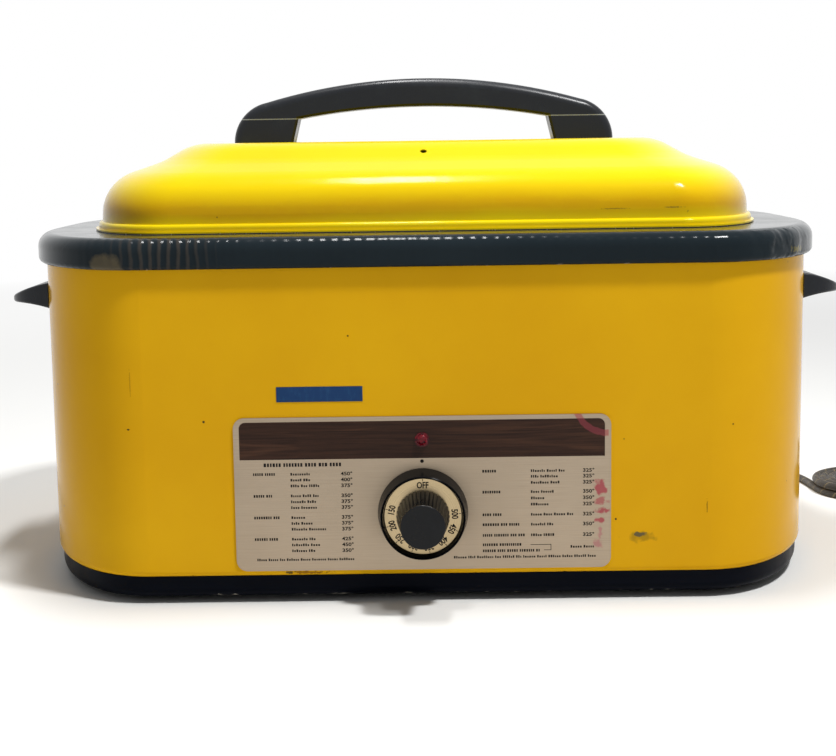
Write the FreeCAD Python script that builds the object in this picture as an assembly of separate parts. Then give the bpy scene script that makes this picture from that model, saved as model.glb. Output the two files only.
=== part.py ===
import FreeCAD, Part
import os
from math import acos, atan2, cos, degrees, hypot, pi, sin, tan

# Electric roaster oven, millimetres, +Z up.  The front, with the control panel,
# faces -Y.  Everything is drawn about the casing's middle; keep() then moves it so
# that the origin is on the table under the middle of the whole, knob included.
V = FreeCAD.Vector
X_AXIS, Y_AXIS, Z_AXIS = V(1, 0, 0), V(0, 1, 0), V(0, 0, 1)

# ---------------------------------------------------------------- casing
CASING_W = 524.0            # outside width of the wrapper
CASING_D = 370.0            # outside depth of the wrapper
CASING_CORNER_X = 84.0      # half axis of the corner ellipse along X
CASING_CORNER_Y = 154.0     # half axis of the corner ellipse along Y
SHEET = 1.0                 # steel sheet of casing, rim, liner and pan
FOOT_H = 4.0                # rubber foot below the base tray
BASE_H = 14.0               # visible height of the base tray
BASE_INSET = 2.5            # tray wall inside the wrapper's face
BASE_BEND = 6.0             # outside bend between tray wall and floor
CASING_H = 215.4            # bottom edge of the wrapper to the rim's top
CASING_TOP_FLANGE = 12.0    # wrapper's top edge turned in under the rim
CASING_FOOT_FLANGE = 9.0    # wrapper's bottom edge turned in over the tray
CASING_BEND = 4.0           # outside bend of both flanges, wide enough for the rim's roll

# ---------------------------------------------------------------- rim
RIM_OVERHANG = 5.4          # rim skirt outside the wrapper
RIM_SKIRT_H = 19.6          # height of the rim's outer face
RIM_ROLL = 9.3              # outside radius where skirt turns into top
RIM_TUCK = 3.5              # outside radius where skirt turns under
RIM_EDGE_GAP = 0.4          # turned-under edge to the wrapper
LEDGE_DROP = 3.0            # ledge for the pan below the rim's top
LEDGE_W = 12.5              # width of that ledge

# ---------------------------------------------------------------- mouth plan
LID_INSET_X = 32.9          # lid edge in from the wrapper, at the ends
LID_INSET_Y = 37.5          # lid edge in from the wrapper, front and back
LID_CORNER_X = 61.5         # half axes of the lid edge's corner ellipse
LID_CORNER_Y = 117.0
CORNER_SHRINK_X = 0.30      # share of an inset that comes off those half axes
CORNER_SHRINK_Y = 0.68

# ---------------------------------------------------------------- lid
LID_OVERLAP = 1.5           # lid edge over the rim's top
LID_HEM = 7.0               # width of the lid's turned-under edge
BEAD_IN = 1.8               # bead's face in from the lid's edge
BEAD_H = 5.8                # bead's top above the lid's seat
BEAD_R = 2.7                # rounding of the bead
WALL_IN = 4.0               # lid wall in from the lid's edge
SHOULDER_IN, SHOULDER_H = 5.7, 31.8     # corner between wall and first slope
FOLD_IN, FOLD_H = 44.0, 44.8            # fold between first and second slope
CROWN_IN, CROWN_H = 64.8, 57.1          # corner between second slope and top
SHOULDER_R, FOLD_R, CROWN_R = 30.0, 40.0, 36.0
VENT_R = 2.25               # steam vent in the lid's front slope
VENT_ALONG = 0.42           # place of the vent between fold and crown

# ---------------------------------------------------------------- cook pan and liner
PAN_FLANGE_GAP = 1.0        # pan flange to the rim's step
PAN_FLANGE_W = 14.5         # width of the pan's flange
PAN_DEPTH = 165.0           # flange top to the pan's outside bottom
PAN_DRAFT = 4.0             # how far the wall leans in over its depth
PAN_BOTTOM_R = 24.0         # outside radius between wall and bottom
LINER_SIDE_GAP = 2.4        # liner's inside face to the pan's wall
LINER_BOTTOM_GAP = 4.0      # liner's inside bottom to the pan
LINER_FLANGE_W = 8.5
LINER_BOTTOM_R = 18.0

# ---------------------------------------------------------------- heating
BAND_T = 3.0                # mica and steel heating band
BAND_H = 40.0
BAND_ABOVE_BOTTOM = 21.0    # band's lower edge above the liner's bottom
BAND_GAP = 10.0             # gap in the band between its clamp lugs
BAND_GAP_X = 96.0           # the gap's place on the front side
LUG_OUT, LUG_H, LUG_T = 10.0, 13.0, 1.6
BLANKET_T = 24.0            # glass-fibre blanket round the liner
BLANKET_TOP_GAP = 24.0      # its top below the rim's ledge
BLANKET_LUG_GAP = 4.0       # its lower edge above the band's clamp lugs
PAD_W, PAD_D, PAD_T = 300.0, 180.0, 22.0    # blanket lying on the base tray

# ---------------------------------------------------------------- base hardware
POST_X, POST_Y, POST_R = 120.0, 62.0, 5.0
SCREW_R = 2.5               # M5 screws all over
SCREW_FIT = 0.05            # radial clearance of a screw in its hole
SCREW_HEAD_R, SCREW_HEAD_H = 4.6, 2.4
SCREW_BITE = 12.0           # thread length inside a post or handle
BORE_PAST = 0.5             # blind bores go this much past what they hold
NUT_FIT = 0.02              # radial clearance of a nut or clip on its thread
M5_NUT_ACROSS, M5_NUT_T = 8.0, 4.0
M5_THREAD_PAST = 5.0        # band screw past its second lug
FOOT_X, FOOT_Y = 170.0, 112.0
FOOT_R, FOOT_TOP_R, FOOT_STEM_R, FOOT_BARB_R = 13.0, 11.0, 3.9, 5.4

# ---------------------------------------------------------------- control panel
PANEL_W, PANEL_H, PANEL_T = 237.0, 98.4, 1.0
PANEL_CORNER_R = 7.0
PANEL_X = -3.2              # the panel sits a little left of the middle
PANEL_UP = 3.8              # its lower edge above the wrapper's lower edge
KNOB_UP = 36.7              # knob axis above the panel's lower edge
LAMP_UP = 83.5              # pilot lamp above the panel's lower edge
LENS_R, LENS_FLANGE_R, LENS_OUT, LENS_FACETS = 3.6, 4.6, 4.2, 8
LENS_FLANGE_T = 1.0
LENS_SHOULDER = 2.4         # out to where the facets turn in
LENS_FOOT, LENS_TABLE = 1.05, 0.45      # radii at flange and table, as shares of the lens
LAMP_R, LAMP_L, LAMP_TAIL = 3.6, 16.0, 3.0
LAMP_CLIP_R, LAMP_CLIP_T = 7.5, 1.2

# ---------------------------------------------------------------- knob
SKIRT_R, SKIRT_FACE_R, SKIRT_H = 28.5, 26.5, 16.4
SKIRT_WALL = 2.0
KNOB_GAP = 0.8              # skirt to panel
DIAL_R, DIAL_T, DIAL_SEAT_FIT = 24.0, 0.6, 0.2
DIAL_DEEP = 6.0             # dial behind the skirt's front edge
BOWL_R = 25.2               # skirt's inside radius at that edge
SKIRT_WEB = 2.2             # moulded web that carries the dial
HUB_R, HUB_CAP_R, HUB_H = 16.8, 13.8, 30.2
HUB_FLUTES, FLUTE_DEPTH = 36, 0.9
HUB_CAP_T = 1.6
HUB_EDGE_R = 0.9            # rounding of the cap's edge
SPIGOT_IN, SPIGOT_FIT = 4.0, 0.1        # spigot's step in from the hub, and its clearance
SPIGOT_BACK = 1.2           # spigot's end in front of the skirt's back
DIAL_BORE_IN = 1.5          # dial's bore in from the hub's radius
NUT_ROOM = 1.6              # room in front of the nut
NUT_ROOM_FIT = 0.8          # and round its corners
SHAFT_R, SHAFT_FLAT = 3.0, 1.2
SHAFT_IN_HUB = 13.0         # how far the shaft goes into the hub

# ---------------------------------------------------------------- thermostat
STAT_W, STAT_H, STAT_D = 46.0, 34.0, 27.0
STAT_BRACKET_W, STAT_BRACKET_T = 70.0, 1.2
BUSHING_R, NUT_ACROSS, NUT_T = 5.0, 14.0, 2.6
SHAFT_FIT = 0.08            # running fit of the shaft in its bushing
SHAFT_IN_STAT = 14.0        # shaft beyond the panel's face, inside the body
BLADE_W, BLADE_T, BLADE_L = 6.3, 0.8, 8.0

# ---------------------------------------------------------------- wiring
BLOCK_X, BLOCK_W, BLOCK_D, BLOCK_H = 150.0, 42.0, 20.0, 15.0
BLOCK_FROM_BACK = 38.0      # block's middle in from the wrapper's back face
WIRE_R = 1.2
WIRE_SLACK = 12.0           # how far a lead bows away from what it joins
WIRE_MIDDLE_X = 70.0        # where the thermostat's lead crosses the middle

# ---------------------------------------------------------------- side handles
EAR_W = 112.0               # along the casing's end
EAR_OUT = 30.0              # stands out from its spacers
EAR_STANDOFF = 2.0          # spacer between wrapper and handle
EAR_AXIS_DOWN = 29.5        # screws below the rim skirt's lower edge
EAR_ROOT_UP, EAR_ROOT_DOWN = 11.8, 6.0     # root above and below the screws
EAR_TIP_T = 4.2
EAR_TIP_BELOW = 0.7         # share of the tip below the screws
EAR_BOW_AT, EAR_BOW_DROP = 0.52, 0.34    # upper face: share of the reach, and of the root, where it bows
EAR_ARCH_AT, EAR_ARCH_RISE = 0.45, 0.5  # the same of the face below
EAR_CORNER_R = 28.0         # plan rounding of the outer corners
EAR_EDGE_R = 1.8
EAR_SCREW_Y = 24.0          # screws each side of the handle's middle
EAR_BITE = 9.0              # thread length inside the root
EAR_ROOT_WALL = 12.0        # solid root that takes the screws
EAR_RECESS_Y = 42.0         # half width of the finger recess
EAR_RECESS_UP = 4.0         # recess above the screws, at the root
EAR_RECESS_R = 5.0
EAR_LIP_T = 6.0             # outer lip in front of the recess
SPACER_R = 5.0

# ---------------------------------------------------------------- lid handle
GRIP_LEN = 271.0            # over the feet of both posts
GRIP_TOP_H = 44.0           # above the lid's flat top
GRIP_THICK = 19.6           # at the middle
GRIP_END_H = 28.3           # top corner of the ends above the lid
GRIP_END_IN = 23.5          # that corner in from the end
SEAM_H = 16.5               # joint between grip and posts
SEAM_IN = 5.3               # end of the seam in from the feet's ends
GAP_LEN, GAP_LEAN = 186.0, 4.0          # finger gap at the lid; its sides lean in by the seam
HANDLE_D = 30.0             # depth of grip and posts
HANDLE_EDGE_R = 6.0
GAP_BEVEL = 1.8
HANDLE_SCREW_IN = 22.0      # handle screws in from the posts' outer ends
WASHER_R, WASHER_T = 7.0, 1.0

# ---------------------------------------------------------------- cord
CORD_R = 3.0
GLAND_X = 150.0
GLAND_UP = 16.0             # gland above the wrapper's lower edge
GLAND_R, GLAND_TIP_R, GLAND_OUT, GLAND_FLANGE_R = 6.2, 4.4, 26.0, 9.0
GLAND_IN = 4.0              # gland inside the wrapper
GLAND_FLANGE_T = 2.0
GLAND_RIBS, RIB_FIRST, RIB_PITCH, RIB_GROOVE = 4, 6.0, 4.6, 1.6
RIB_DEEP = 0.6              # groove floor under the nose's tip radius
CORD_LIE = 3.1              # height of the cord's middle on the table
COIL_X, COIL_Y = 365.0, 130.0
COIL_TURN_R = 39.0          # middle of the coil's turns
COIL_LAYERS, COIL_ROWS = 2, 3
COIL_EASE = 0.3             # coil's solid round its turns
COIL_LIE = 0.1              # its underside above the table
COIL_EDGE_R = 2.4
PLUG_L, PLUG_W, PLUG_T = 34.0, 24.0, 18.0
PLUG_NECK_R = 8.0
BLADE_GAP, PLUG_BLADE_L, PLUG_BLADE_W, PLUG_BLADE_T = 12.7, 17.0, 6.35, 1.5
# Route from the gland to the coil, and from the coil to the plug, as chosen.
ROUTE_TO_COIL = [
    (150.0, 211.0, 34.0),
    (151.0, 233.0, 30.5),
    (160.0, 252.0, 16.0),
    (181.0, 262.0, CORD_LIE),
    (216.0, 260.0, CORD_LIE),
    (254.0, 246.0, CORD_LIE),
    (287.0, 225.0, CORD_LIE),
    (308.5, 195.0, CORD_LIE),
    (318.0, 163.0, CORD_LIE),
    (320.0, 132.0, CORD_LIE),
]
ROUTE_TO_PLUG = [
    (410.0, 130.0, 9.1),
    (412.0, 149.0, 8.4),
    (413.0, 168.0, 5.2),
    (412.6, 186.0, 4.6),
    (411.2, 203.0, 8.4),
    (409.0, 219.0, 9.0),
]


# ---------------------------------------------------------------- levels
CASING_BOTTOM = FOOT_H + BASE_H
RIM_TOP = CASING_BOTTOM + CASING_H
RIM_LIP = RIM_TOP - RIM_SKIRT_H
LEDGE_TOP = RIM_TOP - LEDGE_DROP
SEAT_LIFT = 0.5                         # lid's edge above the rim's top
LID_SEAT = RIM_TOP + SEAT_LIFT
LID_TOP = LID_SEAT + CROWN_H
PAN_BOTTOM = LID_SEAT - PAN_DEPTH
LINER_FLOOR = PAN_BOTTOM - LINER_BOTTOM_GAP
LINER_UNDER = LINER_FLOOR - SHEET
TRAY_FLOOR = FOOT_H + SHEET
FRONT_Y = -CASING_D / 2
END_X = CASING_W / 2
PANEL_BOTTOM = CASING_BOTTOM + PANEL_UP
KNOB_Z = PANEL_BOTTOM + KNOB_UP
LAMP_Z = PANEL_BOTTOM + LAMP_UP
PANEL_FACE = FRONT_Y - PANEL_T
INSIDE_FRONT = FRONT_Y + SHEET
EAR_Z = RIM_LIP - EAR_AXIS_DOWN

# Insets from the lid's edge, walking inwards
STEP_IN = LID_OVERLAP
PAN_EDGE_IN = STEP_IN + PAN_FLANGE_GAP
PAN_WALL_IN = PAN_EDGE_IN + PAN_FLANGE_W
LEDGE_IN = STEP_IN + LEDGE_W
LINER_IN = PAN_WALL_IN - LINER_SIDE_GAP
LINER_OUT = LINER_IN - SHEET
BAND_OUT = LINER_OUT - BAND_T
BAND_BOTTOM = LINER_UNDER + BAND_ABOVE_BOTTOM


# ---------------------------------------------------------------- plan outlines
def oval(half_w, half_d, corner_x, corner_y, z):
    """Oblong with quarter-ellipse corners, as a closed wire at height z."""
    edges = []
    cx, cy = half_w - corner_x, half_d - corner_y
    quarters = [(1, 1), (-1, 1), (-1, -1), (1, -1)]
    starts, ends = [], []
    for sx, sy in quarters:
        centre = V(sx * cx, sy * cy, z)
        side = V(sx * half_w, sy * cy, z)
        face = V(sx * cx, sy * half_d, z)
        slant = V(sx * (cx + corner_x * cos(pi / 4)), sy * (cy + corner_y * sin(pi / 4)), z)
        first, last = (side, face) if sx * sy > 0 else (face, side)
        starts.append(first)
        ends.append(last)
        edges.append(quarter(centre, side, face, first, last, slant))
    lines = [Part.makeLine(ends[i], starts[(i + 1) % 4]) for i in range(4)]
    ordered = []
    for i in range(4):
        ordered += [edges[i], lines[i]]
    return Part.Wire(ordered)


def quarter(centre, side, face, first, last, slant):
    """Quarter of an ellipse between two of its axis ends."""
    rx, ry = side.distanceToPoint(centre), face.distanceToPoint(centre)
    if abs(rx - ry) < 1e-6:
        return Part.Arc(first, slant, last).toShape()
    major, minor = (side, face) if rx > ry else (face, side)
    ellipse = Part.Ellipse(major, minor, centre)
    a, b = ellipse.parameter(first), ellipse.parameter(last)
    low, high = min(a, b), max(a, b)
    if high - low > pi:
        low, high = high, low + 2 * pi
    return Part.ArcOfEllipse(ellipse, low, high).toShape()


def casing_plan(inset, z):
    return oval(END_X - inset, -FRONT_Y - inset, CASING_CORNER_X - inset, CASING_CORNER_Y - inset, z)


def mouth_plan(inset, z):
    return oval(END_X - LID_INSET_X - inset, -FRONT_Y - LID_INSET_Y - inset,
                LID_CORNER_X - CORNER_SHRINK_X * inset, LID_CORNER_Y - CORNER_SHRINK_Y * inset, z)


def prism(plan, inset, low, high):
    return Part.Face(plan(inset, low)).extrude(V(0, 0, high - low))


def ring(plan, outer, inner, low, high):
    return prism(plan, outer, low, high).cut(prism(plan, inner, low - 1, high + 1))


def edges_at(shape, z):
    return [e for e in shape.Edges
            if all(abs(v.Z - z) < 1e-4 for v in e.Vertexes) and abs(e.BoundBox.ZLength) < 1e-3]


# ---------------------------------------------------------------- small helpers
def box(x0, x1, y0, y1, z0, z1):
    return Part.makeBox(x1 - x0, y1 - y0, z1 - z0, V(x0, y0, z0))


def rod(radius, start, end):
    """Cylinder between two points."""
    along = end.sub(start)
    return Part.makeCylinder(radius, along.Length, start, along)


def cone(r0, r1, start, end):
    along = end.sub(start)
    return Part.makeCone(r0, r1, along.Length, start, along)


def turned(profile, axis_point, axis):
    """Solid turned from a closed (radius, height) profile about an axis."""
    points = [V(r, 0, h) for r, h in profile]
    face = Part.Face(Part.makePolygon(points + points[:1]))
    solid = face.revolve(V(0, 0, 0), Z_AXIS, 360)
    solid.Placement = FreeCAD.Placement(axis_point, FreeCAD.Rotation(Z_AXIS, axis))
    return solid


def rounded_box_y(x0, x1, z0, z1, radius, y0, y1):
    """Plate standing in XZ with rounded corners, from y0 to y1."""
    block = box(x0, x1, y0, y1, z0, z1)
    corners = [e for e in block.Edges if abs(e.BoundBox.YLength - (y1 - y0)) < 1e-6]
    return block.makeFillet(radius, corners)


def rounded_path(points, radii):
    """Straight runs joined by tangent arcs; the radii belong to the inner points."""
    edges, start = [], points[0]
    for i, radius in enumerate(radii, 1):
        into = points[i].sub(points[i - 1]).normalize()
        out = points[i + 1].sub(points[i]).normalize()
        turn = acos(max(-1.0, min(1.0, into.dot(out))))
        reach = radius * tan(turn / 2)
        enter = points[i].sub(into * reach)
        leave = points[i].add(out * reach)
        inward = out.sub(into).normalize()
        middle = points[i].add(inward * (radius / cos(turn / 2) - radius))
        edges.append(Part.LineSegment(start, enter).toShape())
        edges.append(Part.Arc(enter, middle, leave).toShape())
        start = leave
    edges.append(Part.LineSegment(start, points[-1]).toShape())
    return edges


def cord_radii(points):
    """Largest arc at each inner point: 0.45 of the shorter run over tan(half turn)."""
    radii = []
    for i in range(1, len(points) - 1):
        into, out = points[i].sub(points[i - 1]), points[i + 1].sub(points[i])
        turn = into.getAngle(out)
        radii.append(0.45 * min(into.Length, out.Length) / tan(turn / 2))
    return radii


def tube(points, radius, name=None):
    """Round tube along a route of straight runs and tangent arcs."""
    points = [V(*p) for p in points]
    radii = cord_radii(points)
    path = Part.Wire(rounded_path(points, radii))
    section = Part.Wire(Part.makeCircle(radius, points[0], points[1].sub(points[0])))
    solid = path.makePipeShell([section], True, True)
    if name:
        whole = pi * radius ** 2 * path.Length
        print(name, "arc radii", [round(r, 1) for r in radii], "length", round(path.Length, 1),
              "volume", round(solid.Volume), "section x length", round(whole))
    return solid


def mirrored_x(shape):
    return shape.mirror(V(0, 0, 0), X_AXIS)


def group(shapes):
    return Part.makeCompound(shapes)


PARTS = {}


def keep(name, shape):
    """Writes one node; a compound keeps its solids separate."""
    shape.translate(V(0, TO_MIDDLE_Y, 0))
    PARTS[name] = shape
    shape.exportStep("parts/%s.step" % name)


# ---------------------------------------------------------------- casing
def make_outer_shell():
    outer = prism(casing_plan, 0, CASING_BOTTOM, RIM_TOP - SHEET)
    inner = prism(casing_plan, SHEET, CASING_BOTTOM + SHEET, RIM_TOP - 2 * SHEET)
    outer = outer.makeFillet(CASING_BEND, edges_at(outer, RIM_TOP - SHEET))
    outer = outer.makeFillet(CASING_BEND, edges_at(outer, CASING_BOTTOM))
    inner_bend = CASING_BEND - SHEET
    inner = inner.makeFillet(inner_bend, edges_at(inner, RIM_TOP - 2 * SHEET))
    inner = inner.makeFillet(inner_bend, edges_at(inner, CASING_BOTTOM + SHEET))
    shell = outer.cut(inner)
    shell = shell.cut(prism(casing_plan, CASING_TOP_FLANGE, CASING_BOTTOM + CASING_H / 2, RIM_TOP + 1))
    shell = shell.cut(prism(casing_plan, CASING_FOOT_FLANGE, 0, CASING_BOTTOM + CASING_H / 2))
    holes = [rod(BUSHING_R + SCREW_FIT, V(PANEL_X, FRONT_Y - 5, KNOB_Z), V(PANEL_X, FRONT_Y + 5, KNOB_Z)),
             rod(LAMP_R + SCREW_FIT, V(PANEL_X, FRONT_Y - 5, LAMP_Z), V(PANEL_X, FRONT_Y + 5, LAMP_Z)),
             rod(GLAND_R + SCREW_FIT, V(GLAND_X, -FRONT_Y - 5, GLAND_Z), V(GLAND_X, -FRONT_Y + 5, GLAND_Z))]
    for sx in (-1, 1):
        for sy in (-1, 1):
            start = V(sx * (END_X - 5), sy * EAR_SCREW_Y, EAR_Z)
            holes.append(rod(SCREW_R + SCREW_FIT, start, start.add(V(sx * 10, 0, 0))))
    return shell.cut(holes)


def rim_block(inset, low, high, roll, tuck):
    """Block inside one face of the rim's sheet, rounded above and below."""
    block = prism(casing_plan, inset, low, high)
    block = block.makeFillet(roll, edges_at(block, high))
    return block.makeFillet(tuck, edges_at(block, low))


def make_rim():
    outer = rim_block(-RIM_OVERHANG, RIM_LIP, RIM_TOP, RIM_ROLL, RIM_TUCK)
    inner = rim_block(SHEET - RIM_OVERHANG, RIM_LIP + SHEET, RIM_TOP - SHEET, RIM_ROLL - SHEET,
                      RIM_TUCK - SHEET)
    sheet = outer.cut(inner)
    sheet = sheet.cut(prism(casing_plan, -RIM_EDGE_GAP, RIM_LIP - 1, RIM_LIP + SHEET + 1))
    sheet = sheet.cut(prism(mouth_plan, STEP_IN, RIM_LIP, RIM_TOP + 1))
    step = ring(mouth_plan, STEP_IN - SHEET, STEP_IN, LEDGE_TOP - SHEET, RIM_TOP)
    ledge = ring(mouth_plan, STEP_IN - SHEET, LEDGE_IN, LEDGE_TOP - SHEET, LEDGE_TOP)
    return sheet.fuse([step, ledge]).removeSplitter()


def make_base_tray():
    outer = prism(casing_plan, BASE_INSET, FOOT_H, CASING_BOTTOM)
    outer = outer.makeFillet(BASE_BEND, edges_at(outer, FOOT_H))
    inner = prism(casing_plan, BASE_INSET + SHEET, TRAY_FLOOR, CASING_BOTTOM + 1)
    inner = inner.makeFillet(BASE_BEND - SHEET, edges_at(inner, TRAY_FLOOR))
    tray = outer.cut(inner)
    holes = [rod(SCREW_R + SCREW_FIT, V(x, y, 0), V(x, y, 10)) for x, y in post_places()]
    holes += [rod(FOOT_STEM_R + 0.1, V(x, y, 0), V(x, y, 10)) for x, y in foot_places()]
    return tray.cut(holes)


def post_places():
    return [(sx * POST_X, sy * POST_Y) for sx in (-1, 1) for sy in (-1, 1)]


def foot_places():
    return [(sx * FOOT_X, sy * FOOT_Y) for sx in (-1, 1) for sy in (-1, 1)]


def make_feet():
    profile = [(0, 0), (FOOT_R, 0), (FOOT_TOP_R, FOOT_H), (FOOT_STEM_R, FOOT_H),
               (FOOT_STEM_R, TRAY_FLOOR), (FOOT_BARB_R, TRAY_FLOOR), (FOOT_STEM_R, TRAY_FLOOR + 3),
               (0, TRAY_FLOOR + 3)]
    return group([turned(profile, V(x, y, 0), Z_AXIS) for x, y in foot_places()])


def make_tie_posts():
    posts = []
    for x, y in post_places():
        post = rod(POST_R, V(x, y, TRAY_FLOOR), V(x, y, LINER_UNDER))
        posts.append(post.cut(rod(SCREW_R + SCREW_FIT, V(x, y, 0), V(x, y, TRAY_FLOOR + SCREW_BITE + 1))))
    return group(posts)


def screw(seat, along):
    """Pan-head screw whose head's underside is at seat and whose shank runs along."""
    head = rod(SCREW_HEAD_R, seat.sub(V(along).normalize() * SCREW_HEAD_H), seat)
    head = head.makeFillet(SCREW_HEAD_H * 0.5, [head.Edges[farthest_edge(head, seat)]])
    return head.fuse(rod(SCREW_R, seat, seat.add(along))).removeSplitter()


def farthest_edge(shape, point):
    gaps = [e.CenterOfMass.distanceToPoint(point) if len(e.Vertexes) == 1 else -1 for e in shape.Edges]
    return gaps.index(max(gaps))


def make_base_screws():
    length = SHEET + SCREW_BITE
    return group([screw(V(x, y, FOOT_H), V(0, 0, length)) for x, y in post_places()])


# ---------------------------------------------------------------- pan, liner, heating
def drafted(plan, top_inset, bottom_inset, bottom, top, radius):
    block = Part.makeLoft([plan(bottom_inset, bottom), plan(top_inset, top)], True, True)
    return block.makeFillet(radius, edges_at(block, bottom))


def make_cook_pan():
    top = LID_SEAT
    outer = drafted(mouth_plan, PAN_WALL_IN, PAN_WALL_IN + PAN_DRAFT, PAN_BOTTOM, top, PAN_BOTTOM_R)
    inner = drafted(mouth_plan, PAN_WALL_IN + SHEET, PAN_WALL_IN + PAN_DRAFT + SHEET,
                    PAN_BOTTOM + SHEET, top + 1, PAN_BOTTOM_R - SHEET)
    flange = prism(mouth_plan, PAN_EDGE_IN, top - SHEET, top)
    curl = ring(mouth_plan, PAN_EDGE_IN, PAN_EDGE_IN + SHEET, LEDGE_TOP, top)
    return outer.fuse([flange, curl]).cut(inner).removeSplitter()


def make_liner():
    top = LEDGE_TOP - SHEET
    outer = prism(mouth_plan, LINER_OUT, LINER_UNDER, top)
    outer = outer.makeFillet(LINER_BOTTOM_R, edges_at(outer, LINER_UNDER))
    inner = prism(mouth_plan, LINER_IN, LINER_FLOOR, top + 1)
    inner = inner.makeFillet(LINER_BOTTOM_R - SHEET, edges_at(inner, LINER_FLOOR))
    flange = prism(mouth_plan, LINER_IN - LINER_FLANGE_W, top - SHEET, top)
    return outer.fuse(flange).cut(inner).removeSplitter()


def make_heating_band():
    """Open band round the liner with a clamp lug at each side of its gap."""
    band = ring(mouth_plan, BAND_OUT, LINER_OUT, BAND_BOTTOM, BAND_BOTTOM + BAND_H)
    face = FRONT_Y + LID_INSET_Y + BAND_OUT
    x0, x1 = BAND_GAP_X - BAND_GAP / 2, BAND_GAP_X + BAND_GAP / 2
    band = band.cut(box(x0, x1, face - 5, face + 20, 0, RIM_TOP))
    for low in (x0 - LUG_T, x1):
        band = band.fuse(box(low, low + LUG_T, face - LUG_OUT, face + BAND_T, BAND_BOTTOM, BAND_BOTTOM + LUG_H))
    return band.removeSplitter().cut(rod(SCREW_R + SCREW_FIT, *clamp_line(12)))


def clamp_line(reach):
    y = FRONT_Y + LID_INSET_Y + BAND_OUT - LUG_OUT / 2
    z = BAND_BOTTOM + LUG_H / 2
    return V(BAND_GAP_X - reach, y, z), V(BAND_GAP_X + reach, y, z)


def make_band_clamp():
    """Screw and nut that pull the band tight."""
    reach = BAND_GAP / 2 + LUG_T
    start, end = clamp_line(reach)
    bolt = screw(start, V(2 * reach + M5_THREAD_PAST, 0, 0))
    nut = Part.Face(hexagon(end, M5_NUT_ACROSS)).extrude(V(M5_NUT_T, 0, 0))
    return group([bolt, nut.cut(rod(SCREW_R, start, V(end.x + 9, end.y, end.z)))])


def hexagon(centre, across, axis=X_AXIS):
    """Hexagonal wire across flats, square to X or Y."""
    radius = across / 2 / cos(pi / 6)
    points = []
    for i in range(7):
        u, w = radius * cos(i * pi / 3), radius * sin(i * pi / 3)
        points.append(centre.add(V(0, u, w) if axis == X_AXIS else V(u, 0, w)))
    return Part.makePolygon(points)


def make_side_blanket():
    low = BAND_BOTTOM + LUG_H + BLANKET_LUG_GAP
    return ring(mouth_plan, BAND_OUT - BLANKET_T, BAND_OUT, low, LEDGE_TOP - BLANKET_TOP_GAP)


def make_base_blanket():
    slab = box(-PAD_W / 2, PAD_W / 2, -PAD_D / 2, PAD_D / 2, TRAY_FLOOR, TRAY_FLOOR + PAD_T)
    slab = slab.makeFillet(12, [e for e in slab.Edges if abs(e.BoundBox.ZLength - PAD_T) < 1e-6])
    top = TRAY_FLOOR + 2 * PAD_T
    return slab.cut([rod(POST_R + 1, V(x, y, 0), V(x, y, top)) for x, y in post_places()])


# ---------------------------------------------------------------- panel, lamp, thermostat
def make_panel():
    plate = rounded_box_y(PANEL_X - PANEL_W / 2, PANEL_X + PANEL_W / 2, PANEL_BOTTOM,
                          PANEL_BOTTOM + PANEL_H, PANEL_CORNER_R, PANEL_FACE, FRONT_Y)
    back = FRONT_Y + 5
    holes = [rod(BUSHING_R + SCREW_FIT, V(PANEL_X, PANEL_FACE - 5, KNOB_Z), V(PANEL_X, back, KNOB_Z)),
             rod(LAMP_R + SCREW_FIT, V(PANEL_X, PANEL_FACE - 5, LAMP_Z), V(PANEL_X, back, LAMP_Z))]
    return plate.cut(holes)


def make_pilot_lens():
    """Jewel with flat facets round a small table, on a round flange."""
    flange = rod(LENS_FLANGE_R, V(PANEL_X, PANEL_FACE, LAMP_Z), V(PANEL_X, PANEL_FACE - LENS_FLANGE_T, LAMP_Z))
    wires = []
    for radius, out in ((LENS_R * LENS_FOOT, LENS_FLANGE_T), (LENS_R, LENS_SHOULDER),
                        (LENS_R * LENS_TABLE, LENS_OUT)):
        points = []
        for i in range(LENS_FACETS + 1):
            a = 2 * pi * (i + 0.5) / LENS_FACETS
            points.append(V(PANEL_X + radius * cos(a), PANEL_FACE - out, LAMP_Z + radius * sin(a)))
        wires.append(Part.makePolygon(points))
    return flange.fuse(Part.makeLoft(wires, True, True))


def make_pilot_lamp():
    body = rod(LAMP_R, V(PANEL_X, PANEL_FACE, LAMP_Z), V(PANEL_X, PANEL_FACE + LAMP_L, LAMP_Z))
    tail = rod(LAMP_R * 0.6, V(PANEL_X, PANEL_FACE + LAMP_L, LAMP_Z),
               V(PANEL_X, PANEL_FACE + LAMP_L + LAMP_TAIL, LAMP_Z))
    return body.fuse(tail)


def make_lamp_clip():
    start = V(PANEL_X, INSIDE_FRONT, LAMP_Z)
    end = V(PANEL_X, INSIDE_FRONT + LAMP_CLIP_T, LAMP_Z)
    return rod(LAMP_CLIP_R, start, end).cut(rod(LAMP_R + NUT_FIT, V(start.x, start.y - 1, start.z),
                                                V(end.x, end.y + 1, end.z)))


def make_stat_bracket():
    """Plate between the casing's wall and the thermostat."""
    y0 = INSIDE_FRONT
    plate = rounded_box_y(PANEL_X - STAT_BRACKET_W / 2, PANEL_X + STAT_BRACKET_W / 2,
                          KNOB_Z - STAT_H / 2, KNOB_Z + STAT_H / 2, 4, y0, y0 + STAT_BRACKET_T)
    return plate.cut(rod(BUSHING_R + SCREW_FIT, V(PANEL_X, y0 - 5, KNOB_Z), V(PANEL_X, y0 + 5, KNOB_Z)))


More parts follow.
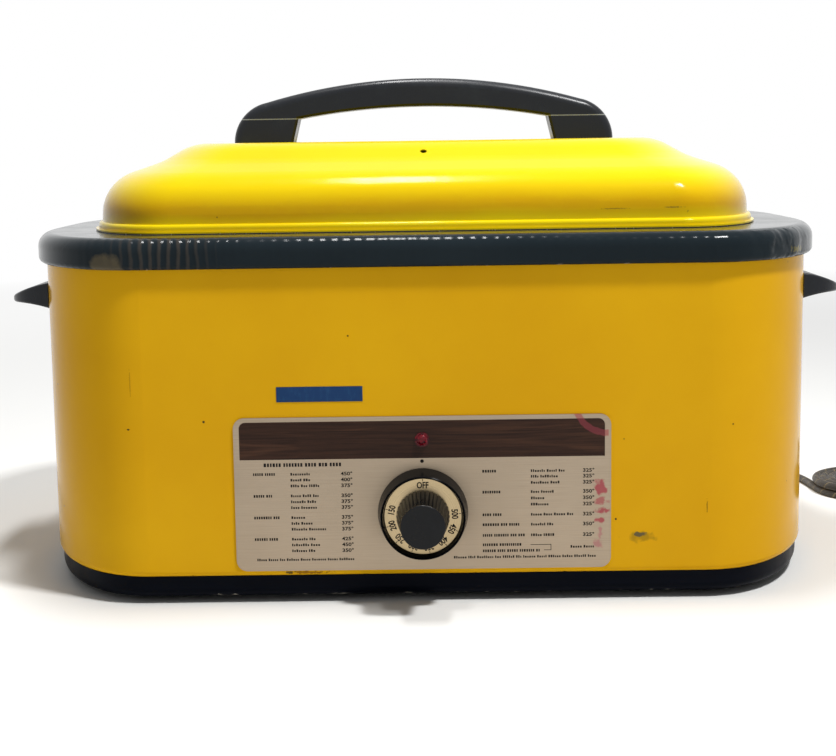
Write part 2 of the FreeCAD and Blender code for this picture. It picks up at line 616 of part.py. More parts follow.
def make_thermostat():
    """Body, threaded bushing through the wall, and three blade terminals behind."""
    y0 = INSIDE_FRONT + STAT_BRACKET_T
    body = box(PANEL_X - STAT_W / 2, PANEL_X + STAT_W / 2, y0, y0 + STAT_D, KNOB_Z - STAT_H / 2,
               KNOB_Z + STAT_H / 2)
    body = body.makeFillet(2.5, [e for e in body.Edges if abs(e.BoundBox.YLength - STAT_D) < 1e-6])
    bushing = rod(BUSHING_R, V(PANEL_X, PANEL_FACE - NUT_T - 0.6, KNOB_Z), V(PANEL_X, y0 + 1, KNOB_Z))
    body = body.fuse(bushing)
    for i in (-1, 0, 1):
        x = PANEL_X + i * STAT_W / 3
        body = body.fuse(box(x - BLADE_T / 2, x + BLADE_T / 2, y0 + STAT_D - 1, y0 + STAT_D + BLADE_L,
                             KNOB_Z - BLADE_W / 2, KNOB_Z + BLADE_W / 2))
    deep = PANEL_FACE + SHAFT_IN_STAT + 1
    return body.cut(rod(SHAFT_R + SHAFT_FIT, V(PANEL_X, PANEL_FACE - 20, KNOB_Z), V(PANEL_X, deep, KNOB_Z)))


def make_stat_nut():
    centre = V(PANEL_X, PANEL_FACE, KNOB_Z)
    nut = Part.Face(hexagon(centre, NUT_ACROSS, Y_AXIS)).extrude(V(0, -NUT_T, 0))
    return nut.cut(rod(BUSHING_R + NUT_FIT, V(PANEL_X, PANEL_FACE + 1, KNOB_Z),
                       V(PANEL_X, PANEL_FACE - NUT_T - 1, KNOB_Z)))


# ---------------------------------------------------------------- knob
SKIRT_BACK = PANEL_FACE - KNOB_GAP
SKIRT_FACE = SKIRT_BACK - SKIRT_H
DIAL_FACE = SKIRT_FACE + DIAL_DEEP
WEB_FACE = DIAL_FACE + DIAL_T
HUB_FACE = DIAL_FACE - HUB_H
NUT_ROOM_END = PANEL_FACE - NUT_T - NUT_ROOM
TO_MIDDLE_Y = -(HUB_FACE + CASING_D / 2 + RIM_OVERHANG) / 2


def knob_point(y):
    return V(PANEL_X, y, KNOB_Z)


def make_knob_skirt():
    """Hollow moulded skirt: a bowl in front whose floor, a web, carries the dial ring and the hub."""
    depth = SKIRT_BACK - SKIRT_FACE
    seat = WEB_FACE - SKIRT_FACE
    web_back = seat + SKIRT_WEB
    inner = SKIRT_FACE_R + (SKIRT_R - SKIRT_FACE_R) * web_back / depth - SKIRT_WALL
    edge = (SKIRT_FACE_R - BOWL_R) / 2
    profile = [(HUB_R - SPIGOT_IN, seat), (DIAL_R + DIAL_SEAT_FIT, seat), (DIAL_R + DIAL_SEAT_FIT, DIAL_DEEP),
               (BOWL_R, edge), (BOWL_R + edge, 0), (SKIRT_FACE_R, edge), (SKIRT_R, depth),
               (SKIRT_R - SKIRT_WALL, depth), (inner, web_back), (HUB_R - SPIGOT_IN, web_back)]
    return turned(profile, knob_point(SKIRT_FACE), Y_AXIS)


def make_dial_ring():
    disc = rod(DIAL_R, knob_point(DIAL_FACE), knob_point(WEB_FACE))
    return disc.cut(rod(HUB_R - DIAL_BORE_IN, knob_point(DIAL_FACE - 1), knob_point(WEB_FACE + 1)))


def fluted_wire(radius, depth, y):
    """Closed outline with one flat land and one groove per flute."""
    points = []
    for i in range(HUB_FLUTES):
        a = 2 * pi * i / HUB_FLUTES
        half = pi / HUB_FLUTES
        for turn, r in ((-0.45, radius), (0.25, radius), (0.9, radius - depth)):
            points.append(V(PANEL_X + r * cos(a + turn * half), y, KNOB_Z + r * sin(a + turn * half)))
    return Part.makePolygon(points + points[:1])


def make_knob_hub():
    """Fluted taper with a flat cap; a smaller spigot goes through dial and skirt."""
    cap_back = HUB_FACE + HUB_CAP_T
    flutes = Part.makeLoft([fluted_wire(HUB_R, FLUTE_DEPTH, DIAL_FACE),
                            fluted_wire(HUB_CAP_R, FLUTE_DEPTH, cap_back)], True, True)
    cap = rod(HUB_CAP_R, knob_point(cap_back), knob_point(HUB_FACE))
    cap = cap.makeFillet(HUB_EDGE_R, [cap.Edges[farthest_edge(cap, knob_point(cap_back))]])
    spigot = rod(HUB_R - SPIGOT_IN - SPIGOT_FIT, knob_point(DIAL_FACE), knob_point(SKIRT_BACK - SPIGOT_BACK))
    seat = rod(HUB_R - DIAL_BORE_IN - DIAL_SEAT_FIT, knob_point(DIAL_FACE), knob_point(WEB_FACE))
    hub = flutes.fuse([cap, seat, spigot])
    bore_end = knob_point(shaft_tip() - BORE_PAST)
    hub = hub.cut(rod(SHAFT_R + SCREW_FIT, knob_point(SKIRT_BACK), bore_end).cut(shaft_flat(SCREW_FIT)))
    room_r = NUT_ACROSS / 2 / cos(pi / 6) + NUT_ROOM_FIT
    nut_room = rod(room_r, knob_point(SKIRT_BACK), knob_point(NUT_ROOM_END))
    return hub.cut(nut_room)


def shaft_tip():
    return DIAL_FACE - SHAFT_IN_HUB


def shaft_flat(gap):
    """Block that leaves the D-shaped flat on the shaft's front end."""
    low = KNOB_Z + SHAFT_R - SHAFT_FLAT + gap
    return box(PANEL_X - 9, PANEL_X + 9, shaft_tip() - 2, NUT_ROOM_END - 0.4, low, KNOB_Z + 9)


def make_shaft():
    shaft = rod(SHAFT_R, knob_point(shaft_tip()), knob_point(PANEL_FACE + SHAFT_IN_STAT))
    return shaft.cut(shaft_flat(0))


# ---------------------------------------------------------------- wiring
GLAND_Z = CASING_BOTTOM + GLAND_UP
BLOCK_Y = -FRONT_Y - BLOCK_FROM_BACK


def make_terminal_block():
    """Moulded block on the tray with three screw wells in its top."""
    z1 = TRAY_FLOOR + BLOCK_H
    block = box(BLOCK_X - BLOCK_W / 2, BLOCK_X + BLOCK_W / 2, BLOCK_Y - BLOCK_D / 2,
                BLOCK_Y + BLOCK_D / 2, TRAY_FLOOR, z1)
    wells = []
    for i in (-1, 0, 1):
        x = BLOCK_X + i * BLOCK_W / 3
        wells.append(rod(2.6, V(x, BLOCK_Y, z1 - 5), V(x, BLOCK_Y, z1 + 1)))
    return block.cut(wells)


def make_wires():
    """Leads from gland to block, from block to thermostat and band, and the pilot lamp's."""
    stat_back = INSIDE_FRONT + STAT_BRACKET_T + STAT_D + BLADE_L
    block_back, block_front = BLOCK_Y + BLOCK_D / 2, BLOCK_Y - BLOCK_D / 2
    block_z = TRAY_FLOOR + BLOCK_H / 2
    gland_y = -FRONT_Y - SHEET - GLAND_IN
    run_z = TRAY_FLOOR + PAD_T + 8
    lamp_y = PANEL_FACE + LAMP_L + LAMP_TAIL
    left, right = PANEL_X - STAT_W / 3, PANEL_X + STAT_W / 3
    band_x = BAND_GAP_X + BAND_GAP / 2 + LUG_T + 8
    band_y = FRONT_Y + LID_INSET_Y + BAND_OUT + BAND_T / 2
    out, down = WIRE_SLACK, WIRE_SLACK / 2
    supply = [(GLAND_X, gland_y, GLAND_Z), (GLAND_X - WIRE_R, gland_y - down, GLAND_Z - WIRE_R),
              (GLAND_X - down / 2, block_back + down, block_z + down),
              (GLAND_X - down / 2, block_back, block_z)]
    to_stat = [(BLOCK_X - out, block_front, block_z), (BLOCK_X - out - WIRE_R, block_front - 2 * out, run_z),
               (WIRE_MIDDLE_X, 0, run_z + down / 2), (WIRE_MIDDLE_X / 2, stat_back + 3 * out, run_z + down),
               (right, stat_back + out, KNOB_Z - down / 2), (right, stat_back, KNOB_Z)]
    to_band = [(BLOCK_X + out, block_front, block_z), (BLOCK_X + out + down / 2, block_front - 2 * out, run_z),
               (BLOCK_X + down, 2 * out, run_z + down), (BLOCK_X, -FOOT_Y / 2, run_z + down),
               (band_x + 2 * out, band_y - WIRE_R, LINER_UNDER - out),
               (band_x + down, band_y - down - WIRE_R, LINER_UNDER + down), (band_x, band_y, BAND_BOTTOM)]
    to_lamp = [(PANEL_X, lamp_y, LAMP_Z), (PANEL_X - down / 2, lamp_y + down / 2, LAMP_Z - down),
               (left, stat_back + down / 2, LAMP_Z - out - down / 2),
               (left - WIRE_R, stat_back + down, KNOB_Z + out), (left, stat_back, KNOB_Z + WIRE_R)]
    return group([tube(points, WIRE_R) for points in (supply, to_stat, to_band, to_lamp)])


# ---------------------------------------------------------------- side handles
def make_side_handle():
    """Right-hand ear: wedge section, rounded in plan, hollowed below for the fingers."""
    x0 = END_X + EAR_STANDOFF
    x1 = x0 + EAR_OUT
    top, low = EAR_Z + EAR_ROOT_UP, EAR_Z - EAR_ROOT_DOWN
    tip_low = EAR_Z - EAR_TIP_T * EAR_TIP_BELOW
    tip_up = tip_low + EAR_TIP_T
    bow = V(x0 + EAR_OUT * EAR_BOW_AT, 0, top - EAR_ROOT_UP * EAR_BOW_DROP)
    arch = V(x0 + EAR_OUT * EAR_ARCH_AT, 0, low + EAR_ROOT_DOWN * EAR_ARCH_RISE)
    upper = Part.Arc(V(x0, 0, top), bow, V(x1, 0, tip_up))
    under = Part.Arc(V(x1, 0, tip_low), arch, V(x0, 0, low))
    outline = Part.Wire([upper.toShape(), Part.makeLine(V(x1, 0, tip_up), V(x1, 0, tip_low)),
                         under.toShape(), Part.makeLine(V(x0, 0, low), V(x0, 0, top))])
    wedge = Part.Face(outline).extrude(V(0, EAR_W, 0))
    wedge.translate(V(0, -EAR_W / 2, 0))
    plan = box(x0 - 4, x1, -EAR_W / 2, EAR_W / 2, low - 1, top + 1)
    outer_corners = [e for e in plan.Edges if abs(e.CenterOfMass.x - x1) < 1e-6 and e.BoundBox.ZLength > 5]
    ear = wedge.common(plan.makeFillet(EAR_CORNER_R, outer_corners))
    wall = prism(casing_plan, -EAR_STANDOFF, low - 5, top + 5)
    ear = ear.cut(wall)
    outside = [e for e in ear.Edges if e.BoundBox.XMax > x0 + 3 and e.CenterOfMass.x > x0 + 1]
    ear = ear.makeFillet(EAR_EDGE_R, outside)
    recess = ear_recess(x0, x1, low)
    bores = [rod(SCREW_R + SCREW_FIT, V(x0 - 5, sy * EAR_SCREW_Y, EAR_Z),
                 V(x0 + EAR_BITE + BORE_PAST, sy * EAR_SCREW_Y, EAR_Z)) for sy in (-1, 1)]
    return ear.cut([recess] + bores)


def ear_recess(x0, x1, low):
    """Hollow for the fingers, open below."""
    a, b = x0 + EAR_ROOT_WALL, x1 - EAR_LIP_T
    points = [V(a, 0, low - 2), V(b, 0, low - 2), V(b, 0, EAR_Z - EAR_TIP_T * EAR_TIP_BELOW),
              V(a, 0, EAR_Z + EAR_RECESS_UP)]
    hollow = Part.Face(Part.makePolygon(points + points[:1])).extrude(V(0, 2 * EAR_RECESS_Y, 0))
    hollow.translate(V(0, -EAR_RECESS_Y, 0))
    upright = [e for e in hollow.Edges if e.BoundBox.YLength < 1e-6 and e.BoundBox.ZLength > 8]
    return hollow.makeFillet(EAR_RECESS_R, upright)


def make_handle_spacers():
    spacers = []
    for sx in (-1, 1):
        for sy in (-1, 1):
            start = V(sx * END_X, sy * EAR_SCREW_Y, EAR_Z)
            end = start.add(V(sx * EAR_STANDOFF, 0, 0))
            hole = rod(SCREW_R + SCREW_FIT, start.sub(V(sx, 0, 0)), end.add(V(sx, 0, 0)))
            spacers.append(rod(SPACER_R, start, end).cut(hole))
    return group(spacers)


def make_handle_screws():
    screws = []
    length = SHEET + EAR_STANDOFF + EAR_BITE
    for sx in (-1, 1):
        for sy in (-1, 1):
            screws.append(screw(V(sx * (END_X - SHEET), sy * EAR_SCREW_Y, EAR_Z), V(sx * length, 0, 0)))
    return group(screws)


# ---------------------------------------------------------------- lid
def dome_corners(shift):
    """Corners of the dome's section as (inset, height), moved square to the sheet by shift."""
    corners = [(WALL_IN, 0.0), (SHOULDER_IN, SHOULDER_H), (FOLD_IN, FOLD_H), (CROWN_IN, CROWN_H),
               (CROWN_IN + CROWN_R, CROWN_H)]
    lines = []
    for (i0, h0), (i1, h1) in zip(corners, corners[1:]):
        length = hypot(i1 - i0, h1 - h0)
        ni, nh = (h1 - h0) / length, -(i1 - i0) / length
        lines.append(((i0 + ni * shift, h0 + nh * shift), (i1 + ni * shift, h1 + nh * shift)))
    moved = [lines[0][0]]
    for (a, b), (c, d) in zip(lines, lines[1:]):
        moved.append(crossing(a, b, c, d))
    moved.append(lines[-1][1])
    return moved


def crossing(a, b, c, d):
    """Where line ab meets line cd."""
    ux, uy, wx, wy = b[0] - a[0], b[1] - a[1], d[0] - c[0], d[1] - c[1]
    s = ((c[0] - a[0]) * wy - (c[1] - a[1]) * wx) / (ux * wy - uy * wx)
    return a[0] + s * ux, a[1] + s * uy


def dome(shift, bottom):
    """Solid under the dome's skin, moved inwards by shift."""
    corners = [V(i, 0, LID_SEAT + h) for i, h in dome_corners(shift)]
    corners[0] = V(corners[0].x, 0, bottom)
    radii = [SHOULDER_R - shift, FOLD_R + shift, CROWN_R - shift]
    bands = []
    for edge, pieces in zip(rounded_path(corners, radii)[:-1], (1, 4, 1, 2, 1, 3)):
        plans = [mouth_plan(p.x, p.z) for p in edge.discretize(pieces + 1)]
        bands.append(Part.makeLoft(plans, True, pieces == 1))
    return bands[0].fuse(bands[1:])


def bead(inset, low, top, radius):
    block = prism(mouth_plan, inset, low, top)
    return block.makeFillet(radius, edges_at(block, top))


def make_lid():
    outer = dome(0, LID_SEAT).fuse([bead(BEAD_IN, LID_SEAT, LID_SEAT + BEAD_H, BEAD_R),
                                    prism(mouth_plan, 0, LID_SEAT, LID_SEAT + SHEET)])
    inside = dome(SHEET, LID_SEAT + SHEET).fuse(
        bead(BEAD_IN + SHEET, LID_SEAT + SHEET, LID_SEAT + BEAD_H - SHEET, BEAD_R - SHEET))
    lid = outer.cut(inside).cut(prism(mouth_plan, LID_HEM, LID_SEAT - 1, LID_SEAT + SHEET + 1))
    holes = [rod(SCREW_R + SCREW_FIT, V(x, 0, LID_TOP - 8), V(x, 0, LID_TOP + 8)) for x in post_middles()]
    return lid.cut(holes + [vent_tool()])


def vent_tool():
    """Steam vent square to the lid's second slope, at the front."""
    inset = FOLD_IN + VENT_ALONG * (CROWN_IN - FOLD_IN)
    height = FOLD_H + VENT_ALONG * (CROWN_H - FOLD_H)
    place = V(0, FRONT_Y + LID_INSET_Y + inset, LID_SEAT + height)
    slope = V(0, CROWN_IN - FOLD_IN, CROWN_H - FOLD_H).normalize()
    normal = V(0, -slope.z, slope.y)
    return rod(VENT_R, place.sub(normal * 6), place.add(normal * 6))


def post_middles():
    return [-GRIP_LEN / 2 + HANDLE_SCREW_IN, GRIP_LEN / 2 - HANDLE_SCREW_IN]


# ---------------------------------------------------------------- lid handle
def handle_outline():
    """Face of the whole bail, seen from the front."""
    foot, gap, gap_top = GRIP_LEN / 2, GAP_LEN / 2, GAP_LEN / 2 - GAP_LEAN
    z0 = LID_TOP
    end = V(foot, 0, z0)
    seam_end = V(foot - SEAM_IN, 0, z0 + SEAM_H)
    corner = V(foot - GRIP_END_IN, 0, z0 + GRIP_END_H)
    crown = V(0, 0, z0 + GRIP_TOP_H)
    left = V(-corner.x, 0, corner.z)
    inner_top = z0 + GRIP_TOP_H - GRIP_THICK
    outer = [Part.Arc(corner, crown, left).toShape()]
    for side in (1, -1):
        a = V(side * end.x, 0, end.z)
        b = V(side * seam_end.x, 0, seam_end.z)
        outer.append(Part.Arc(a, b, V(side * corner.x, 0, corner.z)).toShape())
        outer.append(Part.makeLine(a, V(side * gap, 0, z0)))
        outer.append(Part.makeLine(V(side * gap, 0, z0), V(side * gap_top, 0, z0 + SEAM_H)))
    outer.append(Part.Arc(V(gap_top, 0, z0 + SEAM_H), V(0, 0, inner_top),
                          V(-gap_top, 0, z0 + SEAM_H)).toShape())
    return Part.Face(Part.Wire(Part.__sortEdges__(outer)))


def make_bail():
    """Grip and posts in one; the finger gap's edges are bevelled and the rest rounded."""
    bail = handle_outline().extrude(V(0, HANDLE_D, 0))
    bail.translate(V(0, -HANDLE_D / 2, 0))
    round_edges, bevel_edges = [], []
    for e in bail.Edges:
        if e.BoundBox.YLength > 1e-3 or e.BoundBox.ZMax < LID_TOP + 1:
            continue
        middle = e.valueAt((e.FirstParameter + e.LastParameter) / 2)
        inner = abs(middle.x) < GAP_LEN / 2 and middle.z < LID_TOP + GRIP_TOP_H - GRIP_THICK + 1
        (bevel_edges if inner else round_edges).append(e)
    bail = bail.makeChamfer(GAP_BEVEL, bevel_edges)
    points = {(round(e.CenterOfMass.x, 2), round(e.CenterOfMass.y, 2), round(e.CenterOfMass.z, 2))
              for e in round_edges}
    again = [e for e in bail.Edges if (round(e.CenterOfMass.x, 2), round(e.CenterOfMass.y, 2),
                                       round(e.CenterOfMass.z, 2)) in points]
    return bail.makeFillet(HANDLE_EDGE_R, again)


def make_grip_and_posts():
    bail = make_bail()
    seam = LID_TOP + SEAM_H
    far = GRIP_LEN
    above = box(-far, far, -far, far, seam, seam + far)
    grip = bail.common(above)
    posts = bail.cut(above)
    bores = [rod(SCREW_R + SCREW_FIT, V(x, 0, LID_TOP - 5), V(x, 0, handle_screw_end() + BORE_PAST))
             for x in post_middles()]
    grip, posts = grip.cut(bores), posts.cut(bores)
    left, right = sorted(posts.Solids, key=lambda s: s.CenterOfMass.x)
    return grip, left, right


def handle_screw_end():
    return LID_TOP + SEAM_H + SCREW_BITE / 2


def make_handle_washers():
    washers = []
    under = LID_TOP - SHEET
    for x in post_middles():
        disc = rod(WASHER_R, V(x, 0, under - WASHER_T), V(x, 0, under))
        washers.append(disc.cut(rod(SCREW_R + SCREW_FIT, V(x, 0, under - 5), V(x, 0, under + 5))))
    return group(washers)


def make_lid_screws():
    seat = LID_TOP - SHEET - WASHER_T
    return group([screw(V(x, 0, seat), V(0, 0, handle_screw_end() - seat)) for x in post_middles()])


# ---------------------------------------------------------------- cord
def make_gland():
    """Strain relief: flange outside the back wall and a tapered nose."""
    y = -FRONT_Y
    body = rod(GLAND_R, V(GLAND_X, y - SHEET - GLAND_IN, GLAND_Z), V(GLAND_X, y, GLAND_Z))
    face = y + GLAND_FLANGE_T
    flange = rod(GLAND_FLANGE_R, V(GLAND_X, y, GLAND_Z), V(GLAND_X, face, GLAND_Z))
    nose = cone(GLAND_R, GLAND_TIP_R, V(GLAND_X, face, GLAND_Z), V(GLAND_X, y + GLAND_OUT, GLAND_Z))
    gland = body.fuse([flange, nose])
    for i in range(GLAND_RIBS):
        at = y + RIB_FIRST + i * RIB_PITCH
        groove = rod(GLAND_R + 1, V(GLAND_X, at, GLAND_Z), V(GLAND_X, at + RIB_GROOVE, GLAND_Z))
        core = rod(GLAND_TIP_R - RIB_DEEP, V(GLAND_X, at - 1, GLAND_Z), V(GLAND_X, at + 3, GLAND_Z))
        gland = gland.cut(groove.cut(core))
    return gland


def make_coil():
    """Outer shape of the wound turns."""
    half = COIL_ROWS * CORD_R + COIL_EASE
    height = 2 * CORD_R * COIL_LAYERS + COIL_EASE
    outer, inner = COIL_TURN_R + half, COIL_TURN_R - half
    profile = [(inner, COIL_LIE), (outer, COIL_LIE), (outer, height), (inner, height)]
    coil = turned(profile, V(COIL_X, COIL_Y, 0), Z_AXIS)
    return coil.makeFillet(COIL_EDGE_R, edges_at(coil, height))


def plug_frame():
    """Origin and direction of the plug, from the end of its lead."""
    a, b = V(*ROUTE_TO_PLUG[-2]), V(*ROUTE_TO_PLUG[-1])
    flat = V(b.x - a.x, b.y - a.y, 0)
    return b, degrees(atan2(flat.y, flat.x))


def place_at_plug(shape):
    start, turn = plug_frame()
    shape.rotate(V(0, 0, 0), Z_AXIS, turn)
    shape.translate(V(start.x, start.y, PLUG_T / 2))
    return shape


def make_plug():
    body = box(0, PLUG_L, -PLUG_W / 2, PLUG_W / 2, -PLUG_T / 2, PLUG_T / 2)
    upright = [e for e in body.Edges if abs(e.BoundBox.ZLength - PLUG_T) < 1e-6 and e.CenterOfMass.x < 1]
    body = body.makeFillet(PLUG_NECK_R, upright)
    return place_at_plug(body)


def make_plug_blades():
    blades = []
    for side in (-1, 1):
        y = side * BLADE_GAP / 2
        blades.append(box(PLUG_L, PLUG_L + PLUG_BLADE_L, y - PLUG_BLADE_T / 2, y + PLUG_BLADE_T / 2,
                          -PLUG_BLADE_W / 2, PLUG_BLADE_W / 2))
    return place_at_plug(group(blades))


# ---------------------------------------------------------------- the whole
def main():
    os.makedirs("parts", exist_ok=True)
    keep("outer_shell", make_outer_shell())
    keep("rim_collar", make_rim())
    keep("base_tray", make_base_tray())
    keep("feet", make_feet())
    keep("tie_posts", make_tie_posts())
    keep("base_screws", make_base_screws())
    keep("heat_well", make_liner())
    keep("heating_band", make_heating_band())
    keep("band_clamp", make_band_clamp())
    keep("side_blanket", make_side_blanket())
    keep("base_blanket", make_base_blanket())
    keep("control_panel", make_panel())
    keep("pilot_lens", make_pilot_lens())
    keep("pilot_lamp", make_pilot_lamp())
    keep("lamp_clip", make_lamp_clip())
    keep("thermostat_bracket", make_stat_bracket())
    keep("thermostat_body", make_thermostat())
    keep("thermostat_nut", make_stat_nut())
    keep("thermostat_shaft", make_shaft())
    keep("knob_skirt", make_knob_skirt())
    keep("dial_ring", make_dial_ring())
    keep("knob_hub", make_knob_hub())
    keep("terminal_block", make_terminal_block())
    keep("inner_wires", make_wires())
    ear = make_side_handle()
    keep("side_handle_left", mirrored_x(ear))
    keep("side_handle_right", ear)
    keep("handle_spacers", make_handle_spacers())
    keep("handle_screws", make_handle_screws())
    keep("cook_pan", make_cook_pan())
    keep("lid_shell", make_lid())
    grip, left, right = make_grip_and_posts()
    keep("lid_grip", grip)
    keep("lid_post_left", left)
    keep("lid_post_right", right)
    keep("lid_washers", make_handle_washers())
    keep("lid_screws", make_lid_screws())
    keep("strain_relief", make_gland())
    keep("power_cord", tube(ROUTE_TO_COIL, CORD_R, "power_cord"))
    keep("cord_coil", make_coil())
    keep("plug_lead", tube(ROUTE_TO_PLUG, CORD_R, "plug_lead"))
    keep("plug_body", make_plug())
    keep("plug_blades", make_plug_blades())
    for name, shape in PARTS.items():
        b = shape.BoundBox
        print("%-20s solids %d valid %s vol %9.0f  x %7.1f %7.1f  y %7.1f %7.1f  z %6.1f %6.1f" % (
            name, len(shape.Solids), shape.isValid(), shape.Volume,
            b.XMin, b.XMax, b.YMin, b.YMax, b.ZMin, b.ZMax))


main()
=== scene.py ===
"""Electric roaster oven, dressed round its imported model.

The frame is in metres, +Z up, with the control panel towards -Y.  Sizes are written in
millimetres about the casing's middle, as the solids are, and at() moves them into the frame.
Colours are written as seen, 0 to 255.
"""

import logging
import random
from dataclasses import dataclass, replace
from enum import Enum
from functools import cache, cached_property, partial, reduce
from math import cos, pi, radians, sin, tau
from typing import Callable, Iterable, Protocol, Sequence

import bmesh
import bpy
from mathutils import Matrix, Vector


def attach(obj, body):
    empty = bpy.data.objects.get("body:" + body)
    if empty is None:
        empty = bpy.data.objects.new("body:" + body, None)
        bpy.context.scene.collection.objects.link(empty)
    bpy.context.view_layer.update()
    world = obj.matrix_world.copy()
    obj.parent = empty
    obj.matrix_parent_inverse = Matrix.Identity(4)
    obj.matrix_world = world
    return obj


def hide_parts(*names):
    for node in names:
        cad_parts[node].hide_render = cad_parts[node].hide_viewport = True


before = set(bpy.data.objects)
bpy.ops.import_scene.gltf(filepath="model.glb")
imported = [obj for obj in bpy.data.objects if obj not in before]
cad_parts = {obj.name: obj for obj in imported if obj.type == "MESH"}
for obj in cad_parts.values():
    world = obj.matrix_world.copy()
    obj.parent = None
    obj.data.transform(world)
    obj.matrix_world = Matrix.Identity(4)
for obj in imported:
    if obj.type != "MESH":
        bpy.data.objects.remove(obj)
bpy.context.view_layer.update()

log = logging.getLogger("roaster")

MM = 0.001
TO_MIDDLE_Y = 18.5  # the frame's origin is this far in front of the casing's middle

# ------------------------------------------------------------------ shared sizes, mm
CASING_FRONT = -185.0
PANEL_FACE = -186.0
CASING_BOTTOM = 18.0
FOOT_EDGE = 5.0  # lower bend of the tray
RIM_LIP = 213.8
RIM_TOP = 233.4
KNOB_X, KNOB_Z = -3.2, 58.5
DIAL_FACE = -197.2
INK = 0.06       # thickness of a print

Rgb = tuple[float, float, float]
Point = tuple[float, float, float]
Pair = tuple[float, float]
Socket = bpy.types.NodeSocket
Material = bpy.types.Material
Piece = bpy.types.Object

WHITE = (1.0, 1.0, 1.0, 1.0)
SEEING_RAYS = ("Camera", "Glossy", "Transmission")
FACE_ON = Matrix.Rotation(pi / 2, 4, "X")  # stands a flat print up to face the front
ALONG = 0.9                                # a direction runs along an axis when this much of it does
NEAR = 0.1 * MM                            # two places are the same within this


def at(x: float, y: float, z: float) -> Vector:
    """Moves a point in mm about the casing's middle into the frame, in metres."""
    return Vector((x, y + TO_MIDDLE_Y, z)) * MM


def linear(colour: Rgb) -> tuple[float, float, float, float]:
    """Turns a colour as seen into the linear values that a shader takes, by the sRGB curve."""
    shares = (value / 255.0 for value in colour)
    return (*(s / 12.92 if s <= 0.04045 else ((s + 0.055) / 1.055) ** 2.4 for s in shares), 1.0)


class Body(Enum):
    """The bodies that new pieces ride on."""

    BASE = "base"
    KNOB = "knob"


class Slot(Enum):
    """Names of the record's material slots, for new pieces."""

    PANEL_METAL = "panel_metal"
    CORD = "cord_textile"
    PLUG = "plug_rubber"
    DIAL = "dial_metal"
    SHELL = "shell_enamel"


class Grain(Enum):
    """How a metal face was brushed."""

    ALONG_X = "along"
    ROUND_KNOB = "round"


